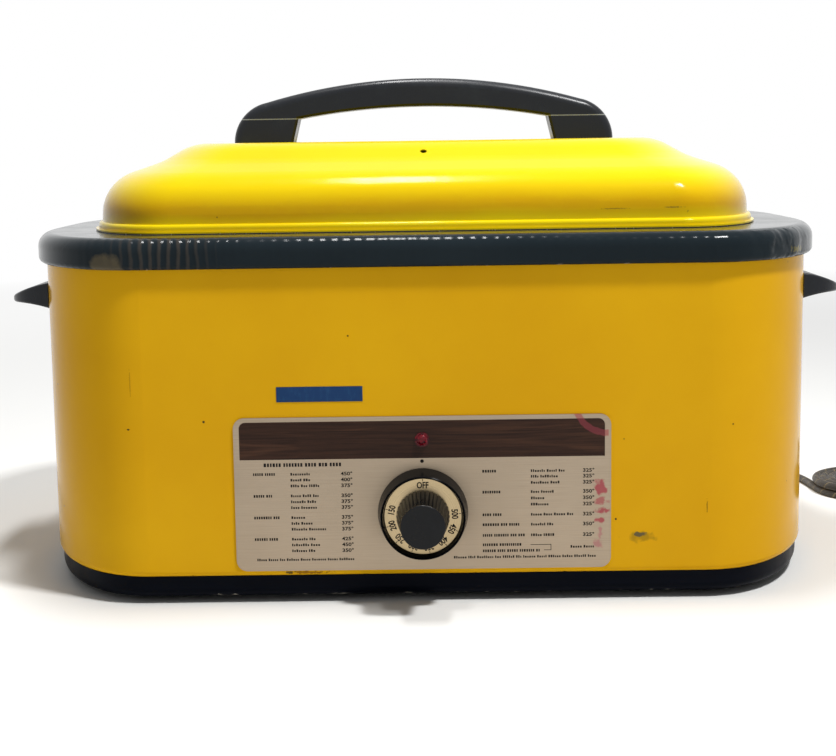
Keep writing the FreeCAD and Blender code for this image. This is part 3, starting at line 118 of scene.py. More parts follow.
# ------------------------------------------------------------------ materials
class Graph:
    """The node tree of a material or of the world, with short ways to add nodes to it."""

    def __init__(self, name: str, world: bool = False) -> None:
        """Starts a tree that holds a shader and its output alone.

        Args:
            name: Name of the material or the world.
            world: Whether it is the world's.
        """
        self.owner = (bpy.data.worlds if world else bpy.data.materials).new(name)
        self.owner.use_nodes = True
        self.tree = self.owner.node_tree
        self.shader = self.tree.nodes["Background" if world else "Principled BSDF"]

    def add(self, kind: str, inputs: dict | None = None, **settings: object) -> bpy.types.Node:
        """Adds a node.

        Args:
            kind: Its bl_idname.
            inputs: Values or sockets by input name or number.
            settings: Properties of the node itself.

        Returns:
            The new node.
        """
        node = self.tree.nodes.new(kind)
        for name, value in settings.items():
            setattr(node, name, value)
        for name, value in (inputs or {}).items():
            self.feed(node.inputs[name], value)
        return node

    def feed(self, socket: Socket, value: object) -> None:
        """Links a socket into an input, or sets its plain value.

        Args:
            socket: The input.
            value: A socket or a value.
        """
        if isinstance(value, Socket):
            self.tree.links.new(value, socket)
        else:
            socket.default_value = value

    @cached_property
    def coords(self) -> bpy.types.bpy_prop_collection:
        """The outputs of the tree's one Texture Coordinate node."""
        return self.add("ShaderNodeTexCoord").outputs

    @property
    def place(self) -> Socket:
        """The point on the object, in metres in the frame."""
        return self.coords["Object"]

    def noise(self, scale: float, detail: float = 2.0, vector: Socket | None = None,
              roughness: float = 0.5, warp: float = 0.0) -> Socket:
        """Adds a noise.

        Args:
            scale: Its scale, per metre.
            detail: Octaves of finer noise.
            vector: Where it is read, the object's own place if none.
            roughness: Share of the finer octaves.
            warp: Distortion.

        Returns:
            The noise, 0 to 1.
        """
        return self.add("ShaderNodeTexNoise", {
            "Vector": vector or self.place, "Scale": scale, "Detail": detail,
            "Roughness": roughness, "Distortion": warp}).outputs["Fac"]

    def cloud(self, scale: float, detail: float, low: float, high: float, share: float = 1.0,
              **more: object) -> Socket:
        """A noise cut to a range: zero up to low, and its share from high on."""
        return self.span(self.noise(scale, detail, **more), low, high, 0.0, share)

    def stray(self, scale: float, detail: float, reach: float) -> Socket:
        """A noise that strays from zero by up to the reach either way."""
        return self.span(self.noise(scale, detail), 0.2, 0.8, -reach, reach)

    def cells(self, scale: float) -> bpy.types.bpy_prop_collection:
        """Adds a Voronoi texture and returns its outputs."""
        return self.add("ShaderNodeTexVoronoi", {"Vector": self.place, "Scale": scale}).outputs

    def span(self, value: Socket, low: float, high: float,
             to_low: float = 0.0, to_high: float = 1.0) -> Socket:
        """Maps a range of values to another, held at its ends.

        Args:
            value: What is mapped.
            low: Value that becomes to_low.
            high: Value that becomes to_high.
            to_low: Result at and below low.
            to_high: Result at and above high.

        Returns:
            The mapped value.
        """
        return self.add("ShaderNodeMapRange", {
            "Value": value, "From Min": low, "From Max": high,
            "To Min": to_low, "To Max": to_high}).outputs["Result"]

    def rise(self, value: Socket, low: float, high: float) -> Socket:
        """Rises from 0 to 1 between two lengths in mm."""
        return self.span(value, low * MM, high * MM)

    def fade(self, value: Socket, low: float, high: float, full: float = 1.0) -> Socket:
        """Falls from its full value to 0 between two lengths in mm."""
        return self.span(value, low * MM, high * MM, full, 0.0)

    def maths(self, operation: str, first: object, second: object = 0.0) -> Socket:
        """Adds a Math node and returns its result."""
        return self.add("ShaderNodeMath", {0: first, 1: second}, operation=operation).outputs[0]

    def times(self, *factors: object) -> Socket:
        """Multiplies values."""
        return reduce(partial(self.maths, "MULTIPLY"), factors)

    def apart(self, value: Socket, level: float) -> Socket:
        """How far a value is from a level, either way."""
        return self.maths("ABSOLUTE", self.maths("SUBTRACT", value, level))

    def vector(self, operation: str, first: object, second: Point = (0.0, 0.0, 0.0)) -> Socket:
        """Adds a Vector Math node and returns its result."""
        made = self.add("ShaderNodeVectorMath", {0: first, 1: second}, operation=operation)
        return made.outputs["Value" if operation == "LENGTH" else "Vector"]

    def away(self, middle: Point) -> Socket:
        """The way to the place from a point in mm, in metres."""
        return self.vector("SUBTRACT", self.place, tuple(at(*middle)))

    def round_y(self, middle: Point) -> Socket:
        """The same way without its part along Y, for circles on an upright face."""
        return self.vector("MULTIPLY", self.away(middle), (1.0, 0.0, 1.0))

    def scaled(self, scale: Point, turn: Point = (0.0, 0.0, 0.0)) -> Socket:
        """The object's place, stretched and turned by a Mapping node."""
        return self.add("ShaderNodeMapping", {
            "Vector": self.place, "Scale": scale, "Rotation": turn}).outputs["Vector"]

    def mix(self, share: object, first: Socket | Rgb, second: Socket | Rgb) -> Socket:
        """Mixes two colours.

        Args:
            share: Share of the second.
            first: A colour as seen, or a socket.
            second: A colour as seen, or a socket.

        Returns:
            The mixed colour.
        """
        made = self.add("ShaderNodeMix", {0: share}, data_type="RGBA")
        for number, colour in ((6, first), (7, second)):
            self.feed(made.inputs[number], colour if isinstance(colour, Socket) else linear(colour))
        return made.outputs[2]

    def axis(self, name: str, source: Socket | None = None) -> Socket:
        """One coordinate, X, Y or Z, of a vector or of the object's place."""
        return self.add("ShaderNodeSeparateXYZ", {0: source or self.place}).outputs[name]

    def bump(self, height: Socket, depth: float, strength: float = 1.0,
             under: Socket | None = None) -> Socket:
        """Adds a bump.

        Args:
            height: Relief from 0 to 1.
            depth: What a height of 1 stands for, mm.
            strength: Share of it that shows.
            under: Another bump that it lies on.

        Returns:
            The normal.
        """
        inputs = {"Height": height, "Distance": depth * MM, "Strength": strength}
        if under is not None:
            inputs["Normal"] = under
        return self.add("ShaderNodeBump", inputs).outputs["Normal"]

    def seen(self) -> Socket:
        """One for rays that see the place, plainly, mirrored or through glass, and else zero."""
        rays = self.add("ShaderNodeLightPath").outputs
        return reduce(partial(self.maths, "MAXIMUM"), (rays[f"Is {kind} Ray"] for kind in SEEING_RAYS))

    def shade(self, **values: object) -> Material | bpy.types.World:
        """Sets the shader's sockets.

        Args:
            values: Values or sockets by input name, with _ for a space.

        Returns:
            The material or the world.
        """
        for name, value in values.items():
            self.feed(self.shader.inputs[name.replace("_", " ")], value)
        return self.owner


class Finish(Protocol):
    """The recipe of a material."""

    def build(self) -> Material:
        """Builds the material."""


@cache
def material_of(finish: Finish) -> Material:
    """Builds a finish's material once, however many pieces wear it."""
    return finish.build()


@dataclass(frozen=True)
class Mark:
    """A worn, stained or chipped place on a finish, or a painted reflection laid on it."""

    place: Point           # its middle, mm
    reach: Point           # its half sizes, mm
    colour: Rgb            # what shows there
    ragged: float = 0.8    # how much its edge wanders, as a share of its size
    strength: float = 1.0  # share of the colour at its middle
    soft: float = 0.25     # width of its edge, as a share of its size

    def lay(self, graph: Graph, under: Socket) -> Socket:
        """Lays the mark over a colour.

        Args:
            graph: The material's graph.
            under: Colour below.

        Returns:
            The colour with the mark.
        """
        away = graph.vector("DIVIDE", graph.away(self.place), tuple(MM * r for r in self.reach))
        fineness = 700.0 / max(min(self.reach), 0.6)        # a small mark has a finer edge
        wander = graph.stray(fineness, 3.0, self.ragged)
        far = graph.maths("ADD", graph.vector("LENGTH", away), wander)
        return graph.mix(graph.span(far, 1.0 - self.soft, 1.0, self.strength, 0.0), under, self.colour)


@dataclass(frozen=True)
class Sweep:
    """A faded stroke of a marker round part of a circle, on an upright face."""

    place: Point           # middle of the circle, mm
    radius: float          # its radius, mm
    width: float           # half the stroke's width, mm
    low: Pair              # lowest X and Z of the box that the stroke is kept to, mm
    high: Pair             # highest X and Z of that box, mm
    colour: Rgb = (150, 44, 60)
    strength: float = 0.6  # share of the colour
    wander: float = 0.5    # how far its edges stray, mm
    blur: float = 0.3      # half the width of its soft edges, mm
    ends: float = 0.5      # length over which it ends at the box, mm

    def lay(self, graph: Graph, under: Socket) -> Socket:
        """Lays the stroke over a colour.

        Args:
            graph: The material's graph.
            under: Colour below.

        Returns:
            The colour with the stroke.
        """
        off = graph.apart(graph.vector("LENGTH", graph.round_y(self.place)), self.radius * MM)
        off = graph.maths("ADD", off, graph.stray(300.0, 3.0, self.wander * MM))
        inside = graph.fade(off, self.width - self.blur, self.width + self.blur, self.strength)
        for name, least, most in zip("XZ", self.low, self.high):
            value = graph.axis(name)
            inside = graph.times(inside, graph.rise(value, least, least + self.ends),
                                 graph.fade(value, most - self.ends, most))
        return graph.mix(inside, under, self.colour)


@dataclass(frozen=True)
class Crimps:
    """Upright ripples that pressing left across a rolled edge."""

    start: float                                 # where they start along X, mm
    end: float                                   # where they end, mm
    fade: float                                  # length over which they come and go, mm
    pitch: float                                 # from one to the next, mm
    depth: float                                 # their depth, mm
    wander: float                                # how far they stray from even spacing, mm
    crest_glint: float = 0.0                          # share of the painted glint colour on their crests, a painted reflection
    # colour of the painted glint on their crests, a painted reflection
    glint_colour: Rgb = (66, 60, 54)
    front: Pair = (-150.0, -120.0)               # where they fade out towards the back, mm along Y
    roll: Pair = (RIM_TOP - 0.9, RIM_TOP - 0.2)  # where they fade out below the flat top, mm

    def height(self, graph: Graph) -> Socket:
        """Gives the height of the crimps, 0 to 1.

        Args:
            graph: The material's graph.

        Returns:
            Their height, which fades out at both ends, behind the front and on the flat top.
        """
        along = graph.axis("X")
        turn = graph.maths("ADD", along, graph.stray(60.0, 2.0, self.wander * MM))
        wave = graph.span(graph.maths("SINE", graph.times(turn, tau / (self.pitch * MM))), -1.0, 1.0)
        return graph.times(
            wave, graph.rise(along, self.start, self.start + self.fade),
            graph.fade(along, self.end - self.fade, self.end),
            graph.fade(graph.axis("Y"), *(y + TO_MIDDLE_Y for y in self.front)),
            graph.fade(graph.axis("Z"), *self.roll))


@dataclass(frozen=True)
class Enamel:
    """Vitreous enamel on pressed steel: glossy, a little wavy, pitted and chipped with age."""

    name: str
    colour: Rgb
    thin: Rgb                           # where the coat is thinner or grimy
    chip: Rgb = (38, 28, 20)            # chipped places and pits
    roughness: float = 0.13             # of the clean coat
    waviness: float = 0.12              # depth of the slow waves in the sheet, mm
    shine: float = 0.07                 # strength of its reflections
    speck: float = 0.35                 # share of the pits that show
    worn_edges: tuple[float, ...] = ()  # heights of edges that are chipped along their length, mm
    marks: tuple[Mark, ...] = ()
    crimps: tuple[Crimps, ...] = ()
    low: Rgb | None = None              # colour of a lower band of painted shade, if it has one
    change: Pair = (0.0, 0.0)           # heights between which the band fades out upwards, mm
    foot: Pair = (-2.0, -1.0)           # heights between which the band fades out downwards, mm
    chipped: float = 2.2                # how far from a worn edge the chips reach, mm
    uneven: float = 3.0                 # how far the band's edges stray, mm

    def build(self) -> Material:
        """Builds the material.

        Returns:
            The material.
        """
        graph = Graph(self.name)
        ripples = [(crimps, crimps.height(graph)) for crimps in self.crimps]
        pits = graph.cells(46.0)
        dot = graph.times(graph.span(pits["Distance"], 0.028, 0.045, 1.0, 0.0),
                          graph.span(graph.axis("X", pits["Color"]), 1.0 - self.speck, 1.02 - self.speck))
        colour = self._coat(graph)
        colour = graph.mix(dot, colour, self.chip)
        for height in self.worn_edges:
            reach = graph.cloud(90.0, 6.0, 0.56, 0.74, self.chipped * MM, roughness=0.75)
            above = graph.maths("SUBTRACT", graph.apart(graph.axis("Z"), height * MM), reach)
            colour = graph.mix(graph.fade(above, -0.25, 0.0, 0.9), colour, self.chip)
        for mark in self.marks:
            colour = mark.lay(graph, colour)
        # painted reflection: the crimps' crests are tinted with their glint colour
        for crimps, height in ripples:
            colour = graph.mix(graph.span(height, 0.45, 0.95, 0.0, crimps.crest_glint), colour, crimps.glint_colour)
        relief = graph.bump(graph.noise(14.0, 1.0), self.waviness, 0.6)
        relief = graph.bump(graph.noise(420.0, 2.0), 0.012, 0.5, relief)
        relief = graph.bump(dot, -0.08, 0.8, relief)
        for crimps, height in ripples:
            relief = graph.bump(height, crimps.depth, 1.0, relief)
        gloss = graph.span(graph.noise(24.0, 5.0, roughness=0.65), 0.3, 0.75,
                           self.roughness * 0.8, self.roughness * 1.5)
        return graph.shade(Base_Color=colour, Roughness=gloss, Normal=relief, Specular_IOR_Level=self.shine)

    def _coat(self, graph: Graph) -> Socket:
        """Mixes the coat's own colours, its lower band of painted shade and its grime.

        Args:
            graph: The material's graph.

        Returns:
            The colour of the sound coat.
        """
        cloud = graph.cloud(7.0, 4.0, 0.35, 0.7)
        colour = graph.mix(cloud, self.colour, self.thin)
        # painted shade: the lower band darkens the wall below the lit slopes
        if self.low is not None:
            uneven = graph.span(cloud, 0.0, 1.0, -self.uneven * MM, self.uneven * MM)
            height = graph.maths("ADD", graph.axis("Z"), uneven)
            band = graph.times(graph.fade(height, *self.change), graph.rise(height, *self.foot))
            colour = graph.mix(band, colour, self.low)
        return graph.mix(graph.cloud(55.0, 6.0, 0.52, 0.8, 0.22, roughness=0.7), colour, self.thin)


@dataclass(frozen=True)
class Speckled:
    """Graniteware enamel of the cook pan: dark with fine pale specks."""

    name: str = "pan_graniteware"
    colour: Rgb = (22, 24, 28)
    speck: Rgb = (196, 200, 202)
    # cells a metre, and a speck's share of its cell
    sizes: tuple[Pair, ...] = ((260.0, 0.24), (520.0, 0.26), (130.0, 0.12))

    def build(self) -> Material:
        """Builds the material.

        Returns:
            The material.
        """
        graph = Graph(self.name)
        colour: Socket | Rgb = self.colour
        for scale, size in self.sizes:
            cell = graph.cells(scale)
            dot = graph.span(cell["Distance"], size * 0.8, size, 1.0, 0.0)
            lit = graph.span(graph.axis("X", cell["Color"]), 0.55, 0.6)
            colour = graph.mix(graph.times(dot, lit), colour, self.speck)
        peel = graph.bump(graph.noise(300.0, 2.0), 0.02, 0.5)
        return graph.shade(Base_Color=colour, Roughness=0.2, Normal=peel, Coat_Weight=0.4)


@dataclass(frozen=True)
class Moulded:
    """Phenolic, plastic or rubber pieces out of a mould, a little scuffed."""

    name: str
    colour: Rgb
    scuffed: Rgb               # rubbed places and fine scratches
    roughness: float = 0.35
    grain: float = 0.02        # depth of its fine texture, mm
    coat: float = 0.2          # weight of the gloss on top
    shine: float = 0.3         # strength of its reflections
    seam: float | None = None  # height of its moulding seam, mm, where a painted highlight line is laid, if it shows
    # colour of the painted highlight along the seam
    seam_highlight: Rgb = (138, 142, 138)

    def build(self) -> Material:
        """Builds the material.

        Returns:
            The material.
        """
        graph = Graph(self.name)
        rub = graph.cloud(38.0, 6.0, 0.5, 0.78, 0.8, roughness=0.7)
        colour = graph.mix(rub, self.colour, self.scuffed)
        drawn = graph.scaled((1.0, 6.0, 14.0), (0.3, 0.2, 0.5))
        scratch = graph.cloud(30.0, 8.0, 0.66, 0.7, 0.35, vector=drawn, roughness=0.8)
        colour = graph.mix(scratch, colour, self.scuffed)
        if self.seam is not None:
            # painted highlight: a pale line along the seam's edge
            line = graph.fade(graph.apart(graph.axis("Z"), self.seam * MM), 0.15, 0.5, 0.85)
            colour = graph.mix(line, colour, self.seam_highlight)
        gloss = graph.span(graph.noise(26.0, 4.0), 0.3, 0.7, self.roughness * 0.75, self.roughness * 1.35)
        relief = graph.bump(graph.noise(900.0, 3.0), self.grain, 0.6)
        return graph.shade(Base_Color=colour, Roughness=gloss, Normal=relief, Coat_Weight=self.coat,
                           Coat_Roughness=0.2, Specular_IOR_Level=self.shine)


@dataclass(frozen=True)
class Brushed:
    """Brushed sheet metal, along X or round the knob's axis."""

    name: str
    colour: Rgb           # the lit metal
    dark: Rgb             # its strokes
    grain: Grain = Grain.ALONG_X
    roughness: float = 0.42
    streak: float = 0.65  # how far its reflections are drawn out across the strokes
    marks: tuple[Mark | Sweep, ...] = ()

    def build(self) -> Material:
        """Builds the material.

        Returns:
            The material.
        """
        graph = Graph(self.name)
        if self.grain is Grain.ALONG_X:
            stroke = graph.noise(1.0, 5.0, graph.scaled((22.0, 60.0, 2600.0)), 0.7)
            tangent = graph.add("ShaderNodeCombineXYZ", {0: 1.0}).outputs[0]
        else:
            flat = graph.round_y((KNOB_X, 0.0, KNOB_Z))
            tangent = graph.vector("NORMALIZE", graph.vector("CROSS_PRODUCT", flat, (0.0, 1.0, 0.0)))
            out = graph.times(graph.vector("LENGTH", flat), 3400.0)
            ring = graph.add("ShaderNodeCombineXYZ", {0: out}).outputs[0]
            stroke = graph.noise(1.0, 4.0, ring, 0.7)
        colour = graph.mix(graph.span(stroke, 0.3, 0.72), self.dark, self.colour)
        colour = graph.mix(graph.cloud(18.0, 4.0, 0.35, 0.7, 0.5), colour, self.dark)
        for mark in self.marks:
            colour = mark.lay(graph, colour)
        gloss = graph.span(stroke, 0.25, 0.8, self.roughness * 0.75, self.roughness * 1.25)
        relief = graph.bump(stroke, 0.006, 0.5)
        return graph.shade(Base_Color=colour, Roughness=gloss, Metallic=1.0, Normal=relief,
                           Anisotropic=self.streak, Tangent=tangent)


@dataclass(frozen=True)
class PlainMetal:
    """Bare or plated metal on screws, blades, brackets and the liner."""

    name: str
    colour: Rgb              # its colour
    tarnish: Rgb             # colour of its dull patches
    roughness: float = 0.35  # its roughness
    patch: float = 60.0      # size of the dull patches, per metre

    def build(self) -> Material:
        """Builds the material.

        Returns:
            The material.
        """
        graph = Graph(self.name)
        dull = graph.cloud(self.patch, 5.0, 0.4, 0.72, roughness=0.65)
        colour = graph.mix(dull, self.colour, self.tarnish)
        gloss = graph.span(dull, 0.0, 1.0, self.roughness * 0.8, self.roughness * 1.5)
        drawn = graph.noise(1.0, 4.0, graph.scaled((400.0, 400.0, 3000.0)), 0.7)
        relief = graph.bump(drawn, 0.01, 0.4)
        return graph.shade(Base_Color=colour, Roughness=gloss, Metallic=1.0, Normal=relief)


@dataclass(frozen=True)
class Mineral:
    """Mica, ceramic and glass fibre inside the casing."""

    name: str
    colour: Rgb
    vein: Rgb
    scale: float = 120.0
    roughness: float = 0.7
    relief: float = 0.1

    def build(self) -> Material:
        """Builds the material.

        Returns:
            The material.
        """
        graph = Graph(self.name)
        grain = graph.noise(self.scale, 6.0, roughness=0.7, warp=0.6)
        colour = graph.mix(graph.span(grain, 0.35, 0.68), self.colour, self.vein)
        rise = graph.bump(grain, self.relief, 0.7)
        return graph.shade(Base_Color=colour, Roughness=self.roughness, Normal=rise)


@dataclass(frozen=True)
class Jewel:
    """Cut red lens of the pilot lamp, or the small lamp behind it."""

    name: str
    colour: Rgb
    depth: Rgb
    clear: float  # share of the light that goes through

    def build(self) -> Material:
        """Builds the material.

        Returns:
            The material.
        """
        graph = Graph(self.name)
        facet = graph.cells(520.0)
        colour = graph.mix(graph.axis("Y", facet["Color"]), self.colour, self.depth)
        relief = graph.bump(facet["Distance"], 0.5, 0.55)
        return graph.shade(Base_Color=colour, Roughness=0.16, Normal=relief, Coat_Weight=0.03,
                           Coat_Roughness=0.04, Transmission_Weight=self.clear, Specular_IOR_Level=0.2)


@dataclass(frozen=True)
class WoodPrint:
    """Walnut grain printed on the panel's foil."""

    name: str = "walnut_print"
    colour: Rgb = (58, 37, 27)
    vein: Rgb = (34, 21, 16)
    light: Rgb = (84, 56, 40)
    marks: tuple[Mark | Sweep, ...] = ()

    def build(self) -> Material:
        """Builds the material.

        Returns:
            The material.
        """
        graph = Graph(self.name)
        long_grain = graph.noise(1.0, 6.0, graph.scaled((16.0, 30.0, 620.0)), 0.62, 0.9)
        slow = graph.cloud(1.0, 3.0, 0.52, 0.72, 0.5, vector=graph.scaled((9.0, 30.0, 120.0)), warp=1.4)
        colour = graph.mix(graph.span(long_grain, 0.32, 0.66), self.vein, self.colour)
        colour = graph.mix(slow, colour, self.light)
        pores = graph.cloud(1.0, 2.0, 0.66, 0.72, 0.6, vector=graph.scaled((90.0, 30.0, 3400.0)))
        colour = graph.mix(pores, colour, self.vein)
        for mark in self.marks:
            colour = mark.lay(graph, colour)
        relief = graph.bump(long_grain, 0.01, 0.5)
        return graph.shade(Base_Color=colour, Roughness=0.33, Normal=relief, Specular_IOR_Level=0.12)


@dataclass(frozen=True)
class Ink:
    """Screen-printed ink, thin in places."""

    name: str
    colour: Rgb = (16, 13, 13)
    thin: Rgb = (36, 31, 28)

    def build(self) -> Material:
        """Builds the material.

        Returns:
            The material.
        """
        graph = Graph(self.name)
        wear = graph.cloud(500.0, 4.0, 0.5, 0.75, roughness=0.7)
        colour = graph.mix(wear, self.colour, self.thin)
        relief = graph.bump(wear, 0.01, 0.4)
        return graph.shade(Base_Color=colour, Roughness=0.5, Normal=relief, Specular_IOR_Level=0.1)


@dataclass(frozen=True)
class VinylTape:
    """Blue label tape, smooth and a little creased."""

    name: str = "blue_label_tape"
    colour: Rgb = (9, 50, 94)
    crease: Rgb = (30, 74, 116)

    def build(self) -> Material:
        """Builds the material.

        Returns:
            The material.
        """
        graph = Graph(self.name)
        crease = graph.noise(1.0, 5.0, graph.scaled((300.0, 60.0, 90.0)), 0.7)
        colour = graph.mix(graph.span(crease, 0.5, 0.76, 0.0, 0.8), self.colour, self.crease)
        relief = graph.bump(crease, 0.05, 0.6)
        return graph.shade(Base_Color=colour, Roughness=0.38, Normal=relief, Specular_IOR_Level=0.2)


@dataclass(frozen=True)
class Braid:
    """Woven cotton over the cord, two dark yarns with a pale tracer.

    The piece's UV map runs round it in U, 0 to 1, and along it in V, in metres.
    """

    name: str = "cord_braid"
    yarn: Rgb = (46, 38, 28)
    second: Rgb = (20, 18, 17)
    tracer: Rgb = (168, 146, 96)  # the pale marker yarn
    round_count: int = 8          # yarns round the cord each way
    pitch: float = 15.0           # length of one turn of a yarn, mm

    def build(self) -> Material:
        """Builds the material.

        Returns:
            The material.
        """
        graph = Graph(self.name)
        around = graph.times(graph.axis("X", graph.coords["UV"]), float(self.round_count))
        along = graph.times(graph.axis("Y", graph.coords["UV"]), self.round_count / (self.pitch * MM))
        right, left = graph.maths("ADD", around, along), graph.maths("SUBTRACT", around, along)
        weave = graph.times(*(graph.maths("SINE", graph.times(way, tau)) for way in (right, left)))
        plait = graph.span(weave, -0.9, 0.9)
        fuzz = graph.noise(2600.0, 3.0)
        colour = graph.mix(plait, self.second, self.yarn)
        share = graph.maths("FRACT", graph.maths("DIVIDE", right, float(self.round_count)))
        thread = graph.span(graph.apart(share, 0.5), 0.035, 0.06, 1.0, 0.0)
        shown = graph.times(thread, graph.span(weave, -0.2, 0.3), 0.8)
        colour = graph.mix(shown, colour, self.tracer)
        colour = graph.mix(graph.span(fuzz, 0.55, 0.85, 0.0, 0.35), colour, self.tracer)
        height = graph.maths("ADD", plait, graph.span(fuzz, 0.0, 1.0, 0.0, 0.35))
        return graph.shade(Base_Color=colour, Roughness=0.85, Normal=graph.bump(height, 0.25, 0.9),
                           Sheen_Weight=0.25, Sheen_Roughness=0.5)


# ------------------------------------------------------------------ modelling
class Bench:
    """Modelling by operators: primitives shaped in edit mode."""

    @staticmethod
    def clear() -> None:
        """Leaves edit mode and deselects everything."""
        if bpy.context.object and bpy.context.object.mode != "OBJECT":
            bpy.ops.object.mode_set(mode="OBJECT")
        bpy.ops.object.select_all(action="DESELECT")

    @staticmethod
    def take(piece: Piece) -> None:
        """Makes a piece the only selected one and the active one.

        Args:
            piece: The piece.
        """
        Bench.clear()
        piece.select_set(True)
        bpy.context.view_layer.objects.active = piece

    @staticmethod
    def rename(piece: Piece, name: str) -> Piece:
        """Names a piece and its mesh."""
        piece.name = piece.data.name = name
        return piece

    @staticmethod
    def named(name: str) -> Piece:
        """Names the active object and moves its place into its mesh."""
        bpy.ops.object.transform_apply(location=True, rotation=True, scale=True)
        return Bench.rename(bpy.context.object, name)

    @staticmethod
    def block(name: str, low: Vector, high: Vector) -> Piece:
        """Adds a block between two corners, to be shaped further.

        Args:
            name: Name of the piece.
            low: Lowest corner, metres.
            high: Highest corner, metres.

        Returns:
            The piece, with its place in its mesh.
        """
        Bench.clear()
        bpy.ops.mesh.primitive_cube_add(size=1.0, location=(low + high) / 2, scale=high - low)
        return Bench.named(name)

    @staticmethod
    def sheet(name: str, face: float, thick: float, low: Pair, high: Pair) -> Piece:
        """Adds a block that lies on an upright face, between two corners in X and Z, mm."""
        return Bench.block(name, at(low[0], face - thick, low[1]), at(high[0], face, high[1]))

    @staticmethod
    def pick(piece: Piece, mode: str, test: Callable[[Vector, Vector], bool]) -> None:
        """Enters edit mode with the faces or edges selected that pass a test.

        Args:
            piece: The piece.
            mode: FACE or EDGE.
            test: Given an element's middle and its normal or direction.
        """
        Bench.take(piece)
        bpy.ops.object.mode_set(mode="EDIT")
        bpy.ops.mesh.select_mode(type=mode)
        bpy.ops.mesh.select_all(action="DESELECT")
        shape = bmesh.from_edit_mesh(piece.data)
        for element in shape.faces if mode == "FACE" else shape.edges:
            if mode == "FACE":
                middle, way = element.calc_center_median(), element.normal
            else:
                start, end = (point.co for point in element.verts)
                middle, way = (start + end) / 2, (end - start).normalized()
            if test(middle, way):
                element.select_set(True)
        shape.select_flush_mode()
        bmesh.update_edit_mesh(piece.data)

    @staticmethod
    def extrude(far: float) -> None:
        """Draws the selected faces out along Y by some mm."""
        bpy.ops.mesh.extrude_region_move(TRANSFORM_OT_translate={"value": (0.0, far * MM, 0.0)})

    @staticmethod
    def done(piece: Piece, smooth: float | None = 35.0) -> Piece:
        """Leaves edit mode, points the faces outwards and smooths them.

        Args:
            piece: The piece.
            smooth: Degrees up to which an edge is smooth, or none to leave it flat.

        Returns:
            The piece.
        """
        Bench.take(piece)
        bpy.ops.object.mode_set(mode="EDIT")
        bpy.ops.mesh.select_all(action="SELECT")
        bpy.ops.mesh.normals_make_consistent(inside=False)
        bpy.ops.object.mode_set(mode="OBJECT")
        if smooth is not None:
            bpy.ops.object.shade_smooth_by_angle(angle=radians(smooth))
        Bench.clear()
        return piece

    @staticmethod
    def join(name: str, pieces: Sequence[Piece]) -> Piece:
        """Joins several objects into one named piece.

        Args:
            name: Name of the piece.
            pieces: The objects.

        Returns:
            The piece.
        """
        Bench.take(pieces[0])
        for piece in pieces:
            piece.select_set(True)
        bpy.ops.object.join()
        Bench.clear()
        return Bench.rename(pieces[0], name)

    @staticmethod
    def figures(text: str, height: float, where: Matrix, narrow: float, bold: float) -> Piece:
        """Makes plain figures as a mesh.

        Args:
            text: The figures.
            height: Height of a figure, mm.
            where: Place of their middle in the frame.
            narrow: Width as a share of the plain one.
            bold: How far each stroke is widened each way, mm.

        Returns:
            The mesh object, with its place in its mesh.
        """
        figure_share = 0.70         # height of a figure as a share of the type's size
        Bench.clear()
        bpy.ops.object.text_add()
        words = bpy.context.object.data
        words.body = text
        words.size = height * MM / figure_share
        words.extrude = INK * MM / 2
        words.offset = bold * MM
        words.resolution_u = 3
        words.align_x = "CENTER"
        bpy.ops.object.convert(target="MESH")
        mesh = bpy.context.object
        mesh.data.transform(Matrix.Translation((0.0, -height * MM / 2, 0.0)))
        mesh.data.transform(Matrix.Diagonal((narrow, 1.0, 1.0, 1.0)))
        mesh.data.transform(where)
        return mesh


def faces_front(middle: Vector, normal: Vector) -> bool:
    """Whether a face looks to the front."""
    return normal.y < -ALONG


def wear(piece: Piece, finish: Finish, slot: Slot, body: Body = Body.BASE) -> None:
    """Gives a new piece its finish and the body that it rides on.

    Args:
        piece: The piece.
        finish: Its finish.
        slot: The record's slot, not used.
        body: The body that carries it.
    """
    piece.data.materials.clear()
    piece.data.materials.append(material_of(finish))
    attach(piece, body.value)
    log.info("made %s, %d faces, on %s", piece.name, len(piece.data.polygons), body.value)


def dress(finish: Finish, *nodes: str) -> None:
    """Puts a finish on the solids that keep their own shape.

    Args:
        finish: Their finish.
        nodes: Names of the nodes.
    """
    material = material_of(finish)
    for name in nodes:
        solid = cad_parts[name]
        if not solid.material_slots:
            solid.data.materials.append(material)
        for place in solid.material_slots:
            place.material = material
        log.info("dressed %s in %s", name, material.name)


# ------------------------------------------------------------------ camera and studio
@dataclass
class Viewpoint:
    """The camera."""

    place: Point = (1.9, -1198.1, 289.4)  # where it stands, mm
    lens: float = 70.62                   # focal length, mm
    sensor: float = 36.0                  # width of its sensor, mm
    down: float = 8.16                    # degrees that it looks down
    turn: float = 0.40                    # degrees that it looks to the left
    roll: float = 0.82                    # degrees that it leans

    def build(self) -> None:
        """Builds the camera and makes it the scene's."""
        yaw, pitch, roll = radians(-self.turn), radians(self.down), radians(self.roll)
        ahead = Vector((sin(yaw), cos(yaw), 0.0))
        side = Vector((cos(yaw), -sin(yaw), 0.0))
        sight = cos(pitch) * ahead - sin(pitch) * Vector((0.0, 0.0, 1.0))
        up = sin(pitch) * ahead + cos(pitch) * Vector((0.0, 0.0, 1.0))
        right = cos(roll) * side - sin(roll) * up
        above = sin(roll) * side + cos(roll) * up
        bpy.ops.object.camera_add(location=at(*self.place))
        camera = bpy.context.object
        camera.name = "viewpoint"
        turned = Matrix((right, above, -sight)).transposed().to_4x4()
        camera.matrix_world = Matrix.Translation(at(*self.place)) @ turned
        camera.data.lens = self.lens
        camera.data.sensor_width = self.sensor
        camera.data.sensor_fit = "HORIZONTAL"
        camera.data.clip_end = 50.0
        bpy.context.scene.camera = camera
        log.info("camera at %s", self.place)


